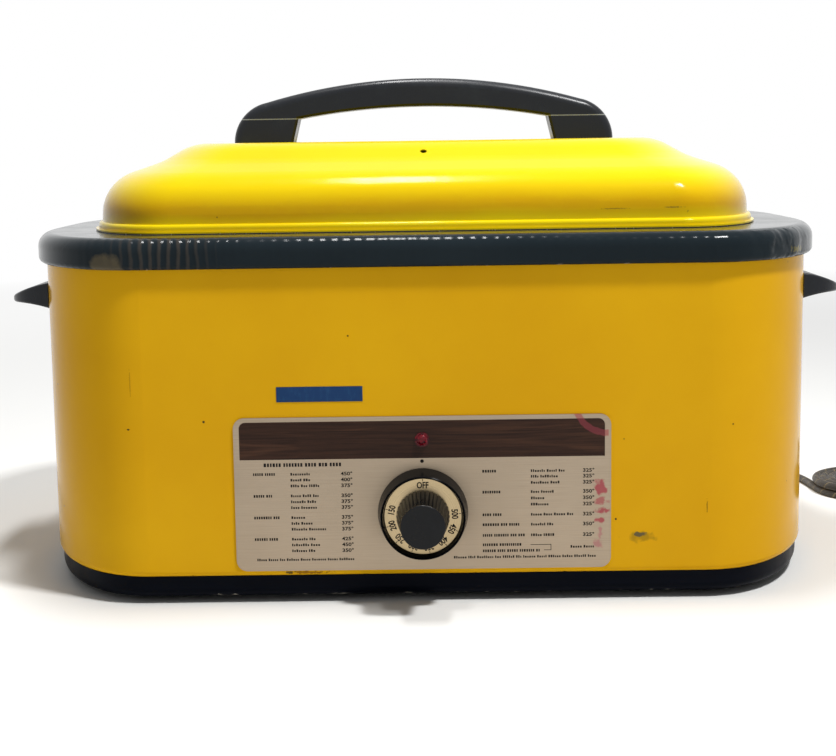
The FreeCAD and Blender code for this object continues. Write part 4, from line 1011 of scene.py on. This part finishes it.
@dataclass
class Lamp:
    """One soft lamp of the studio."""

    name: str
    place: Point                   # where it stands, metres
    size: Pair                     # its width and depth, metres
    power: float                   # watts
    mirrored: bool = True          # whether it shows in glossy faces
    aim: Point = (0.0, 0.0, 0.15)  # point that it faces, metres

    def build(self) -> None:
        """Builds the lamp."""
        bpy.ops.object.light_add(type="AREA", location=self.place)
        lamp = bpy.context.object
        lamp.name = self.name
        lamp.data.shape = "RECTANGLE"
        lamp.data.size, lamp.data.size_y = self.size
        lamp.data.energy = self.power
        lamp.visible_glossy = self.mirrored
        towards = Vector(self.aim) - Vector(self.place)
        lamp.rotation_euler = towards.to_track_quat("-Z", "Y").to_euler()
        log.info("lamp %s", self.name)


@dataclass
class Studio:
    """A plain pale floor, a pale world and soft lamps."""

    floor_size: float = 14.0
    floor_colour: Rgb = (232, 232, 230)
    floor_cloud: Rgb = (212, 212, 210)
    fade: Pair = (0.6, 2.6)  # where the floor turns into the white, metres
    world_level: float = 0.23
    lamps: tuple[Lamp, ...] = (
        Lamp("key_lamp", (0.72, -0.70, 1.88), (0.22, 0.22), 34.0),
        Lamp("strip_lamp", (-0.05, 0.0, 1.95), (0.60, 0.16), 20.0),
        Lamp("front_lamp", (-0.3, -2.2, 1.0), (1.2, 1.2), 1.5, False),
        Lamp("back_lamp", (-0.9, 1.9, 1.2), (1.2, 1.2), 12.0, False),
    )

    def build(self) -> None:
        """Builds the floor, the world and the lamps."""
        bpy.context.scene.view_settings.view_transform = "Standard"
        self._floor()
        self._world()
        for lamp in self.lamps:
            lamp.build()

    def _floor(self) -> None:
        """Builds a pale floor that turns into the white where it is far off."""
        Bench.clear()
        bpy.ops.mesh.primitive_plane_add(size=self.floor_size)
        floor = bpy.context.object
        floor.name = "studio_floor"
        graph = Graph("studio_floor")
        cloud = graph.cloud(0.8, 2.0, 0.2, 0.8, 0.1)
        lit = graph.shade(Base_Color=graph.mix(cloud, self.floor_colour, self.floor_cloud),
                          Roughness=0.9, Specular_IOR_Level=0.1)
        far = graph.span(graph.vector("LENGTH", graph.place), *self.fade)
        glow = graph.add("ShaderNodeEmission", {"Color": WHITE, "Strength": 1.0})
        both = graph.add("ShaderNodeMixShader", {0: graph.times(graph.seen(), far),
                                                 1: graph.shader.outputs[0], 2: glow.outputs[0]})
        graph.feed(graph.tree.nodes["Material Output"].inputs["Surface"], both.outputs[0])
        floor.data.materials.append(lit)

    def _world(self) -> None:
        """Builds a world that is white where it is seen and softer where it lights."""
        graph = Graph("studio_world", world=True)
        level = graph.span(graph.seen(), 0.0, 1.0, self.world_level, 1.0)
        bpy.context.scene.world = graph.shade(Color=WHITE, Strength=level)


# ------------------------------------------------------------------ cord and plug
@dataclass
class PowerCord:
    """The textile-covered supply cord: from its gland, in a coil, to its plug."""

    radius: float = 3.0             # half its diameter, mm
    to_coil: tuple[Point, ...] = (  # route from the gland to the coil, mm
        (150.0, 211.0, 34.0), (151.0, 233.0, 30.5), (160.0, 252.0, 16.0), (181.0, 262.0, 3.1),
        (216.0, 260.0, 3.1), (254.0, 246.0, 3.1), (287.0, 225.0, 3.1), (308.5, 195.0, 3.1),
        (318.0, 163.0, 3.1), (320.0, 132.0, 3.1))
    to_plug: tuple[Point, ...] = (  # route from the coil to the plug, mm
        (410.0, 130.0, 9.1), (412.0, 149.0, 8.4), (413.0, 168.0, 5.2),
        (412.6, 186.0, 4.6), (411.2, 203.0, 8.4), (409.0, 219.0, 9.0))
    coil_middle: Pair = (365.0, 130.0)
    turns: float = 5.5
    points_a_turn: int = 16  # points of the line in one turn
    sides: int = 12
    braid: Finish = Braid()

    # share of turns gone, and the turn's radius or height there, mm
    reach: tuple[Pair, ...] = (
        (0.0, 45.3), (0.86, 45.3), (1.0, 39.15), (1.86, 39.15), (2.0, 33.0), (3.52, 33.0),
        (3.68, 39.15), (4.52, 39.15), (4.68, 45.3), (5.5, 45.3))
    rise: tuple[Pair, ...] = ((0.0, 3.1), (2.68, 3.1), (2.84, 9.2), (5.5, 9.2))

    @staticmethod
    def _along(table: Sequence[Pair], share: float) -> float:
        """Reads a table between its rows.

        Args:
            table: Places and the values there.
            share: The place that is read.

        Returns:
            The value there.
        """
        for (start, first), (end, last) in zip(table, table[1:]):
            if share <= end:
                return first + (last - first) * (share - start) / (end - start)
        return table[-1][1]

    def route(self) -> list[Vector]:
        """The points that the cord's line follows, in the frame.

        Returns:
            Points from the gland to the plug, metres.
        """
        points = [at(*p) for p in self.to_coil]
        for step in range(1, int(self.turns * self.points_a_turn)):
            gone = step / self.points_a_turn
            angle = pi + tau * gone
            out = self._along(self.reach, gone)
            points.append(at(self.coil_middle[0] + out * cos(angle),
                             self.coil_middle[1] + out * sin(angle),
                             self._along(self.rise, gone)))
        points.extend(at(*p) for p in self.to_plug)
        return points

    def line(self) -> list[Vector]:
        """The smooth line through the route, read from its spline.

        Returns:
            Close points along it, metres.
        """
        data = bpy.data.curves.new("cord_line", "CURVE")
        data.dimensions = "3D"
        data.resolution_u = 6
        spline = data.splines.new("NURBS")
        route = self.route()
        spline.points.add(len(route) - 1)
        for point, place in zip(spline.points, route):
            point.co = (*place, 1.0)
        spline.order_u = 3
        spline.use_endpoint_u = True
        holder = bpy.data.objects.new("cord_line", data)
        bpy.context.scene.collection.objects.link(holder)
        bpy.context.view_layer.update()
        mesh = bpy.data.meshes.new_from_object(holder)
        line = [v.co.copy() for v in mesh.vertices]
        bpy.data.objects.remove(holder)
        bpy.data.meshes.remove(mesh)
        close = [line[0]]
        for point in line[1:]:
            if (point - close[-1]).length > 0.1 * MM:
                close.append(point)
        return close

    def build(self) -> tuple[Piece, list[Vector], float]:
        """Builds the cord as a tube round its line.

        Returns:
            The piece, the points that it follows and its length in metres.
        """
        line = self.line()
        shape = bmesh.new()
        loops = shape.loops.layers.uv.new("UVMap")
        rings: list[list[bmesh.types.BMVert]] = []
        gone = [0.0]
        side = Vector((0.0, 0.0, 1.0))
        for index, point in enumerate(line):
            ahead = (line[min(index + 1, len(line) - 1)] - line[max(index - 1, 0)]).normalized()
            side = (side - ahead * side.dot(ahead)).normalized()
            across = ahead.cross(side)
            rings.append([shape.verts.new(point + self.radius * MM * (
                cos(tau * k / self.sides) * side + sin(tau * k / self.sides) * across))
                for k in range(self.sides)])
            if index:
                gone.append(gone[-1] + (point - line[index - 1]).length)
        for index in range(len(line) - 1):
            for k in range(self.sides):
                after = (k + 1) % self.sides
                face = shape.faces.new((rings[index][k], rings[index][after],
                                        rings[index + 1][after], rings[index + 1][k]))
                face.smooth = True
                corners = ((k, index), (k + 1, index), (k + 1, index + 1), (k, index + 1))
                for loop, (turn, ring) in zip(face.loops, corners):
                    loop[loops].uv = (turn / self.sides, gone[ring])
        shape.faces.new(list(reversed(rings[0])))
        shape.faces.new(rings[-1])
        bmesh.ops.recalc_face_normals(shape, faces=shape.faces)
        data = bpy.data.meshes.new("supply_cord")
        shape.to_mesh(data)
        shape.free()
        cord = bpy.data.objects.new("supply_cord", data)
        bpy.context.scene.collection.objects.link(cord)
        wear(cord, self.braid, Slot.CORD)
        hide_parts("power_cord", "cord_coil", "plug_lead")
        return cord, line, gone[-1]


@dataclass
class Plug:
    """The moulded two-blade plug at the cord's end."""

    middle: Point = (409.0, 219.0, 9.1)  # middle of its cord end, mm
    turn: float = 7.8                    # degrees to the left, as the cord's end lies
    length: float = 34.0                 # along the cord, mm
    width: float = 24.0                  # across, mm
    thick: float = 18.0                  # its height as it lies, mm
    neck: float = 10.0                   # length of the neck at the cord, mm
    # steps of the neck: share of its length, then what is left of the width and the height
    taper: tuple[Point, ...] = ((0.55, 0.62, 0.66), (0.45, 0.66, 0.80))
    nose: float = 3.0                    # length of the step at the blades, mm
    shoulder: float = 1.6                # width of that step, mm
    grooves: Point = (0.30, 0.52, 0.74)  # places of the finger grooves, share of the body
    groove_half: float = 0.7             # half the width of a groove, mm
    groove_depth: float = 0.9
    rounding: float = 1.3
    rubber: Finish = Moulded("plug_rubber_black", (24, 23, 22), (50, 48, 46), 0.5, 0.04, 0.05)

    def build(self) -> Piece:
        """Builds the plug's body.

        Returns:
            The piece, which stands for the solid body.
        """
        x, y, z = self.middle
        half = Vector((self.width / 2, 0.0, self.thick / 2)) * MM
        low, high = at(x, y + self.neck, z), at(x, y + self.length - self.nose, z)
        body = Bench.block("plug_moulding", low - half, high + half)
        Bench.pick(body, "FACE", faces_front)
        for share, across, tall in self.taper:
            Bench.extrude(-self.neck * share)
            bpy.ops.transform.resize(value=(across, 1.0, tall))
        Bench.pick(body, "FACE", lambda c, n: n.y > ALONG and abs(c.y - high.y) < NEAR)
        bpy.ops.mesh.inset(thickness=self.shoulder * MM)
        Bench.extrude(self.nose)
        middles = [low.y + (high.y - low.y) * share for share in self.grooves]
        for cut in middles:
            for offset in (-self.groove_half * MM, self.groove_half * MM):
                Bench.pick(body, "FACE", lambda c, n: True)
                bpy.ops.mesh.bisect(plane_co=(0.0, cut + offset, 0.0), plane_no=(0.0, 1.0, 0.0))
        Bench.pick(body, "FACE", lambda c, n: abs(n.x) > ALONG
                   and any(abs(c.y - cut) < NEAR for cut in middles))
        bpy.ops.mesh.extrude_region_shrink_fatten(
            TRANSFORM_OT_shrink_fatten={"value": -self.groove_depth * MM})
        bpy.ops.object.mode_set(mode="OBJECT")
        rounding = body.modifiers.new("edges", "BEVEL")
        rounding.width = self.rounding * MM
        rounding.segments = 3
        rounding.limit_method = "ANGLE"
        rounding.angle_limit = radians(40)
        rounding.use_clamp_overlap = True
        Bench.take(body)
        bpy.ops.object.modifier_apply(modifier="edges")
        pivot = Matrix.Translation(at(*self.middle))
        body.data.transform(pivot @ Matrix.Rotation(radians(self.turn), 4, "Z") @ pivot.inverted())
        Bench.done(body)
        wear(body, self.rubber, Slot.PLUG)
        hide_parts("plug_body")
        return body


# ------------------------------------------------------------------ control panel
RED_MARKER = (150, 48, 66)
FAINT_MARKER = (158, 92, 100)
STROKE = Sweep((113.0, PANEL_FACE, 128.0), 20.0, 2.0, (90.0, 100.0), (114.0, 121.0))


@dataclass
class ControlPanel:
    """The plate with its printed band, index dot and guide table, and the label tape above it, mm.

    Words are greeked: short blocks stand for them.  Only figures are real.
    """

    band: tuple[Pair, Pair] = ((-118.0, 93.5), (111.4, 117.4))  # its lowest and highest corners
    band_thick: float = 0.12
    band_corner: float = 4.0
    dot: Point = (-3.4, 91.5, 1.15)  # its middle in X and Z, and its radius
    tape: tuple[Pair, Pair] = ((-94.0, 130.0), (-40.0, 139.5))  # its lowest and highest corners
    tape_thick: float = 0.35
    tape_edge: float = 0.5           # width of the bevelled edge
    tape_rise: float = 0.12          # height of the middle over the edge
    first: float = 84.2              # middle of the left table's first row
    row: float = 3.78                # from one row of the left table to the next
    group: float = 13.95             # from one group to the next
    right_rows: tuple[float, ...] = (84.5, 80.9, 77.0, 71.1, 67.0, 63.0, 56.5, 50.1, 43.2, 37.1, 33.2)
    # where the left table's heads end, and the three items of each
    left_ends: tuple[tuple[float, Point], ...] = (
        (-95.8, (-73.8, -74.8, -68.3)), (-98.3, (-69.3, -70.3, -69.8)),
        (-94.8, (-77.8, -73.3, -64.8)), (-96.3, (-71.3, -68.3, -71.8)))
    # where the head and the item of each of the right table's rows end, if it has them
    right_ends: tuple[tuple[float | None, float | None], ...] = (
        (42.5, 85.8), (None, 82.0), (None, 83.0), (44.5, 78.8), (None, 73.0), (None, 75.8),
        (45.5, 91.0), (57.5, 79.0), (61.0, 79.0), (57.8, None), (70.5, None))
    title: float = 2.3                   # height of the title's letters
    letter: float = 1.7                  # height of the tables' letters
    note: float = 1.6                    # height of the letters of the last lines
    letter_gap: float = 0.28             # after a letter, as a share of its height
    word_gap: float = 0.45               # after a word, more
    columns: Pair = (-50.9, 101.2)       # middles of the two columns of temperatures
    figure: float = 2.2                  # height of the temperatures
    figure_wide: float = 1.25            # their width as a share of the plain one
    figure_bold: float = 0.09
    bracket: Point = (64.5, 73.0, 77.6)  # starts of its upper and lower lines, and their ends
    bracket_line: float = 0.35           # width of its lines
    # faded marks of a red marker: a stroke over the band and the plate, and blots down the right edge
    metal: Finish = Brushed(
        "panel_metal_warm", (178, 162, 142), (154, 139, 120), roughness=0.46,
        marks=(
            STROKE,
            Mark((109.2, PANEL_FACE, 73.4), (4.6, 4.0, 4.8), RED_MARKER, 0.8, 0.8, 0.45),
            Mark((109.0, PANEL_FACE, 64.8), (4.6, 4.0, 2.4), RED_MARKER, 0.8, 0.65, 0.5),
            Mark((109.6, PANEL_FACE, 58.4), (4.6, 4.0, 2.2), RED_MARKER, 0.6, 0.8, 0.45),
            Mark((109.2, PANEL_FACE, 52.2), (4.2, 4.0, 2.2), RED_MARKER, 0.6, 0.8, 0.45),
            Mark((108.4, PANEL_FACE, 44.4), (1.6, 4.0, 4.2), FAINT_MARKER, 0.8, 0.6, 0.6),
            Mark((107.6, PANEL_FACE, 36.4), (3.4, 4.0, 3.6), FAINT_MARKER, 0.9, 0.6, 0.6)))
    wood: Finish = WoodPrint(marks=(replace(STROKE, colour=(116, 52, 58), strength=0.75),))
    ink: Finish = Ink("panel_ink")
    vinyl: Finish = VinylTape()

    def build(self) -> None:
        """Dresses the plate and builds every print on it and the tape above it."""
        dress(self.metal, "control_panel")
        self._band()
        self._dot()
        self._words()
        self._figures()
        self._bracket()
        self._tape()

    def _band(self) -> None:
        """Builds the walnut band with its two rounded upper corners."""
        band = Bench.sheet("walnut_band", PANEL_FACE, self.band_thick, *self.band)
        top = self.band[1][1] * MM
        Bench.pick(band, "EDGE", lambda c, d: abs(d.y) > ALONG and abs(c.z - top) < NEAR)
        bpy.ops.mesh.bevel(offset=self.band_corner * MM, segments=8, affect="EDGES")
        wear(Bench.done(band, 30.0), self.wood, Slot.PANEL_METAL)

    def _dot(self) -> None:
        """Builds the index dot above the knob."""
        x, z, radius = self.dot
        Bench.clear()
        bpy.ops.mesh.primitive_cylinder_add(vertices=24, radius=radius * MM, depth=INK * MM,
                                            location=at(x, PANEL_FACE - INK / 2, z),
                                            rotation=(pi / 2, 0.0, 0.0))
        dot = Bench.named("index_dot")
        Bench.pick(dot, "FACE", faces_front)
        bpy.ops.mesh.inset(thickness=0.2 * MM)
        wear(Bench.done(dot), self.ink, Slot.PANEL_METAL)

    def _words(self) -> None:
        """Builds the rows of blocks that stand for the guide's words."""
        chance = random.Random(7)
        Bench.clear()
        bpy.ops.mesh.primitive_plane_add(size=1.0 * MM)
        words = Bench.rename(bpy.context.object, "guide_rows")
        bpy.ops.object.mode_set(mode="EDIT")
        bpy.ops.mesh.delete(type="VERT")
        for x_start, x_end, z, tall, capital in self._rows():
            cursor = x_start
            letters = 0
            word = chance.randint(4, 8)
            while cursor < x_end:
                wide = chance.uniform(0.85, 1.35) * tall / 2.0
                high = tall if capital or letters == 0 else tall * chance.choice((0.72, 0.72, 0.72, 1.0))
                bpy.ops.mesh.primitive_plane_add(
                    size=1.0, location=at(cursor + wide / 2, PANEL_FACE, z - tall / 2 + high / 2),
                    rotation=(pi / 2, 0.0, 0.0))
                bpy.ops.transform.resize(value=(wide * MM, 1.0, high * MM))
                cursor += wide + self.letter_gap * tall
                letters += 1
                if letters == word and x_end - cursor > 3.0:
                    cursor += self.word_gap * tall
                    word = chance.randint(3, 8)
                    letters = 0
        bpy.ops.mesh.select_all(action="SELECT")
        Bench.extrude(-INK)
        wear(Bench.done(words, None), self.ink, Slot.PANEL_METAL)

    def _rows(self) -> Iterable[tuple[float, float, float, float, bool]]:
        """Lists the rows of blocks.

        Returns:
            Each row's start and end, its height on the plate, its letters' height and whether they
            are capitals.
        """
        yield -103.0, -54.8, 90.1, self.title, True
        for group, (head, items) in enumerate(self.left_ends):
            top = self.first - self.group * group
            yield -109.8, head, top, self.letter, True
            for row, item in enumerate(items):
                yield -86.3, item, top - self.row * row, self.letter, False
        yield -108.6, -47.2, 29.1, self.note, False
        for z, (head, item) in zip(self.right_rows, self.right_ends):
            if head is not None:
                yield 34.4, head, z, self.letter, True
            if item is not None:
                yield 64.9, item, z, self.letter, False
        yield 89.8, 104.5, 35.4, self.letter, False
        yield 16.0, 106.0, 29.3, self.note, False

    def _figures(self) -> None:
        """Builds the guide's temperatures."""
        left = ("450", "400", "375", "350", "375", "375", "375", "375", "375", "425", "450", "350")
        right = ("325", "325", "325", "350", "350", "325", "325", "350", "325")
        places = [(text, self.columns[0], self.first - self.group * (n // 3) - self.row * (n % 3))
                  for n, text in enumerate(left)]
        places += [(text, self.columns[1], z) for text, z in zip(right, self.right_rows)]
        made = []
        for text, x, z in places:
            where = Matrix.Translation(at(x, PANEL_FACE - INK / 2, z)) @ FACE_ON
            made.append(Bench.figures(text + "°", self.figure, where, self.figure_wide, self.figure_bold))
        wear(Bench.join("guide_figures", made), self.ink, Slot.PANEL_METAL)

    def _bracket(self) -> None:
        """Builds the bracket that joins the guide's last two rows."""
        upper, lower, line = self.right_rows[-2], self.right_rows[-1], self.bracket_line
        upper_start, lower_start, end = self.bracket
        corners = (((upper_start, upper - line), (end, upper)), ((lower_start, lower), (end, lower + line)),
                   ((end - line, lower), (end, upper)))
        parts = [Bench.sheet("bracket_line", PANEL_FACE, INK, low, high) for low, high in corners]
        wear(Bench.join("guide_bracket", parts), self.ink, Slot.PANEL_METAL)

    def _tape(self) -> None:
        """Builds the plain label tape, with its pressed middle and bevelled edge."""
        tape = Bench.sheet("label_tape", CASING_FRONT, self.tape_thick, *self.tape)
        Bench.pick(tape, "FACE", faces_front)
        bpy.ops.mesh.inset(thickness=self.tape_edge * MM)
        Bench.extrude(-self.tape_rise)
        wear(Bench.done(tape), self.vinyl, Slot.SHELL)


@dataclass
class Dial:
    """The printed figures and ticks of the temperature dial, which turn with the knob."""

    # each figure and its angle round from the top, counter-clockwise
    marks: tuple[tuple[str, float], ...] = (
        ("OFF", 0.0), ("150", 78.0), ("200", 106.0), ("250", 134.0), ("300", 162.0),
        ("350", 190.0), ("400", 218.0), ("450", 246.0), ("500", 274.0))
    reach: float = 20.0        # radius of the figures' middle, mm
    figure: float = 3.9        # height of the figures, mm
    narrow: float = 0.76       # their width as a share of the plain one
    bold: float = 0.17         # how far each stroke of a figure is widened each way, mm
    tick: Pair = (22.4, 23.8)  # inner and outer radius of the ticks, mm
    tick_half: float = 0.2     # half the width of a tick, mm
    ink: Finish = Ink("dial_ink", (14, 11, 12), (30, 24, 24))

    def build(self) -> None:
        """Builds the figures and ticks."""
        axis = at(KNOB_X, DIAL_FACE - INK / 2, KNOB_Z)
        low, high = self.tick
        figures, ticks = [], []
        for text, angle in self.marks:
            turn = radians(angle)
            out = Vector((-sin(turn), 0.0, cos(turn)))
            where = Matrix.Translation(axis + out * self.reach * MM) @ FACE_ON @ Matrix.Rotation(turn, 4, "Z")
            figures.append(Bench.figures(text, self.figure, where, self.narrow, self.bold))
            bar = Bench.block("tick", Vector((-self.tick_half, -INK / 2, low)) * MM,
                              Vector((self.tick_half, INK / 2, high)) * MM)
            bar.data.transform(Matrix.Translation(axis) @ Matrix.Rotation(-turn, 4, "Y"))
            ticks.append(bar)
        wear(Bench.join("dial_figures", figures), self.ink, Slot.DIAL, Body.KNOB)
        wear(Bench.join("dial_ticks", ticks), self.ink, Slot.DIAL, Body.KNOB)


# ------------------------------------------------------------------ finishes of the solids
SOOT = (46, 40, 30)
ZINC = PlainMetal("zinc_plate", (186, 188, 186), (132, 130, 124), 0.32, 160.0)
PHENOLIC = Moulded("black_phenolic", (9, 13, 20), (26, 32, 38), 0.28, 0.015, 0.0)


@dataclass
class Casing:
    """The wrapper, rim, tray and what hangs on them."""

    shell: Enamel = Enamel(
        "harvest_enamel_shell", (220, 168, 20), (211, 157, 18), shine=0.03, worn_edges=(CASING_BOTTOM,),
        marks=(
            Mark((134.5, CASING_FRONT, 41.5), (9.0, 6.0, 4.2), (150, 118, 26), 0.9, 0.7, 0.6),
            Mark((133.8, CASING_FRONT, 42.4), (4.2, 4.0, 1.7), (92, 86, 62), 0.5, 0.95),
            Mark((-76.0, CASING_FRONT, 20.2), (13.0, 6.0, 1.5), (128, 84, 20), 0.8, 0.85, 0.5),
            Mark((-88.0, CASING_FRONT, 20.6), (3.0, 6.0, 1.2), SOOT, 0.9, 0.8),
            Mark((-140.0, CASING_FRONT, 118.0), (0.8, 4.0, 0.8), SOOT, 0.4),
            Mark((-187.6, CASING_FRONT + 2, 113.6), (1.1, 6.0, 0.7), SOOT, 0.5),
            Mark((-185.5, CASING_FRONT + 2, 143.4), (0.5, 8.0, 9.5), (150, 108, 18), 0.5, 0.5),
            Mark((118.4, CASING_FRONT, 52.4), (0.7, 4.0, 0.7), SOOT, 0.4),
            Mark((176.0, CASING_FRONT + 2, 60.0), (0.5, 8.0, 4.6), (120, 88, 20), 0.6, 0.8)))
    rim: Enamel = Enamel(
        "black_enamel_rim", (20, 29, 34), (28, 37, 42), (120, 112, 100), 0.12, 0.25, 0.08, 0.12, (RIM_LIP,),
        marks=(
            Mark((-251.0, -10.7, RIM_TOP), (2.4, 3.0, 1.0), (150, 152, 150), 0.8),
            # painted reflection: a brownish-grey glint on the crimped left front corner
            Mark((-197.0, -181.0, 217.0), (12.0, 22.0, 8.0), (88, 80, 62), 0.4, 0.8, 0.35),
            Mark((236.0, -148.0, 219.0), (7.0, 14.0, 2.0), (120, 108, 40), 0.9, 0.6, 0.5)),
        crimps=(
            # these crimps carry a painted reflection: a brownish-grey glint on their crests
            Crimps(-222.0, -104.0, 46.0, 5.9, 0.35, 1.2, 0.6),
            Crimps(-150.0, 235.0, 60.0, 7.4, 0.10, 1.0),
            Crimps(190.0, 264.0, 30.0, 21.0, 0.9, 9.0)))
    tray: Enamel = Enamel(
        "black_enamel_tray", (3, 6, 15), (7, 10, 19), (150, 146, 136), 0.35, 0.2, 0.04, 0.1, (FOOT_EDGE,))

    def build(self) -> None:
        """Dresses the casing's solids."""
        dress(self.shell, "outer_shell")
        dress(self.rim, "rim_collar")
        dress(self.tray, "base_tray")
        dress(Moulded("foot_rubber_black", (26, 26, 27), (52, 52, 52), 0.75, 0.05, 0.0), "feet")
        dress(Moulded("gland_rubber", (20, 20, 21), (44, 43, 42), 0.6, 0.04, 0.0), "strain_relief")


@dataclass
class Lid:
    """The pressed lid with its bail handle."""

    enamel: Enamel = Enamel(
        # painted light: the lid is painted more lemon than the shell, as its top is lit, and its lower wall
        # darker golden as painted shade
        "harvest_enamel_lid", (222, 198, 10), (218, 188, 8), roughness=0.12, waviness=0.3, speck=0.2,
        low=(206, 160, 6), change=(250.0, 264.0), foot=(239.0, 246.0),
        marks=(
            Mark((168.7, -140.0, 243.6), (1.6, 3.0, 1.0), (60, 50, 34), 0.6),
            Mark((160.0, -142.0, 246.4), (6.0, 4.0, 0.5), (120, 96, 30), 0.9, 0.8),
            Mark((122.0, -144.0, 246.0), (9.0, 4.0, 0.4), (120, 96, 30), 1.0, 0.7)))
    # the pale line at the seam is a painted highlight
    bail: Moulded = replace(PHENOLIC, name="black_phenolic_bail", seam=307.5)

    def build(self) -> None:
        """Dresses the lid's solids."""
        dress(self.enamel, "lid_shell")
        dress(self.bail, "lid_grip", "lid_post_left", "lid_post_right")
        dress(ZINC, "lid_washers", "lid_screws")


@dataclass
class Works:
    """The side handles, the pieces inside the casing and the small hardware."""

    def build(self) -> None:
        """Dresses the works."""
        dress(PHENOLIC, "side_handle_left", "side_handle_right")
        dress(ZINC, "handle_spacers", "handle_screws", "base_screws", "tie_posts", "thermostat_bracket",
              "thermostat_nut", "thermostat_shaft")
        dress(PlainMetal("liner_steel", (168, 168, 164), (126, 120, 108), 0.4, 22.0), "heat_well")
        dress(PlainMetal("spring_steel", (96, 98, 104), (66, 62, 60), 0.35), "lamp_clip", "band_clamp")
        dress(PlainMetal("blade_brass", (206, 170, 96), (150, 116, 62), 0.3, 220.0), "plug_blades")
        dress(Mineral("mica_band", (150, 132, 100), (98, 84, 64), 180.0, 0.45, 0.05), "heating_band")
        dress(Mineral("glass_fibre", (226, 210, 150), (188, 166, 100), 260.0, 0.95, 0.9),
              "side_blanket", "base_blanket")
        dress(Mineral("block_ceramic", (222, 214, 198), (186, 176, 156), 90.0, 0.45, 0.03), "terminal_block")
        dress(Moulded("stat_phenolic", (58, 34, 24), (84, 54, 40), 0.45, 0.03, 0.1), "thermostat_body")
        dress(Moulded("wire_sleeve", (190, 184, 168), (150, 140, 120), 0.8, 0.15, 0.0), "inner_wires")
        dress(Speckled(), "cook_pan")
        dress(Jewel("neon_glass", (214, 120, 70), (120, 60, 40), 0.6), "pilot_lamp")
        dress(Jewel("red_jewel", (118, 4, 24), (40, 0, 8), 0.04), "pilot_lens")


@dataclass
class Knob:
    """The knob and its dial."""

    def build(self) -> None:
        """Dresses the knob's solids."""
        dress(Moulded("knob_skirt_black", (5, 6, 8), (12, 14, 17), 0.2, 0.01, 0.0, 0.03), "knob_skirt")
        dress(Moulded("knob_hub_black", (7, 8, 11), (16, 18, 21), 0.34, 0.02, 0.0, 0.2), "knob_hub")
        dress(Brushed("dial_champagne", (214, 194, 156), (160, 140, 106), Grain.ROUND_KNOB, 0.3, 0.9),
              "dial_ring")


def main() -> None:
    """Builds the camera, the studio and every sub-assembly, and reports each piece."""
    logging.basicConfig(level=logging.INFO, format="%(name)s: %(message)s")
    Viewpoint().build()
    cord, line, length = PowerCord().build()
    plug = Plug().build()
    log.info("cord of %.3f m", length)
    Studio().build()
    Casing().build()
    Lid().build()
    Works().build()
    Knob().build()
    ControlPanel().build()
    Dial().build()


if __name__ == "__main__":
    main()
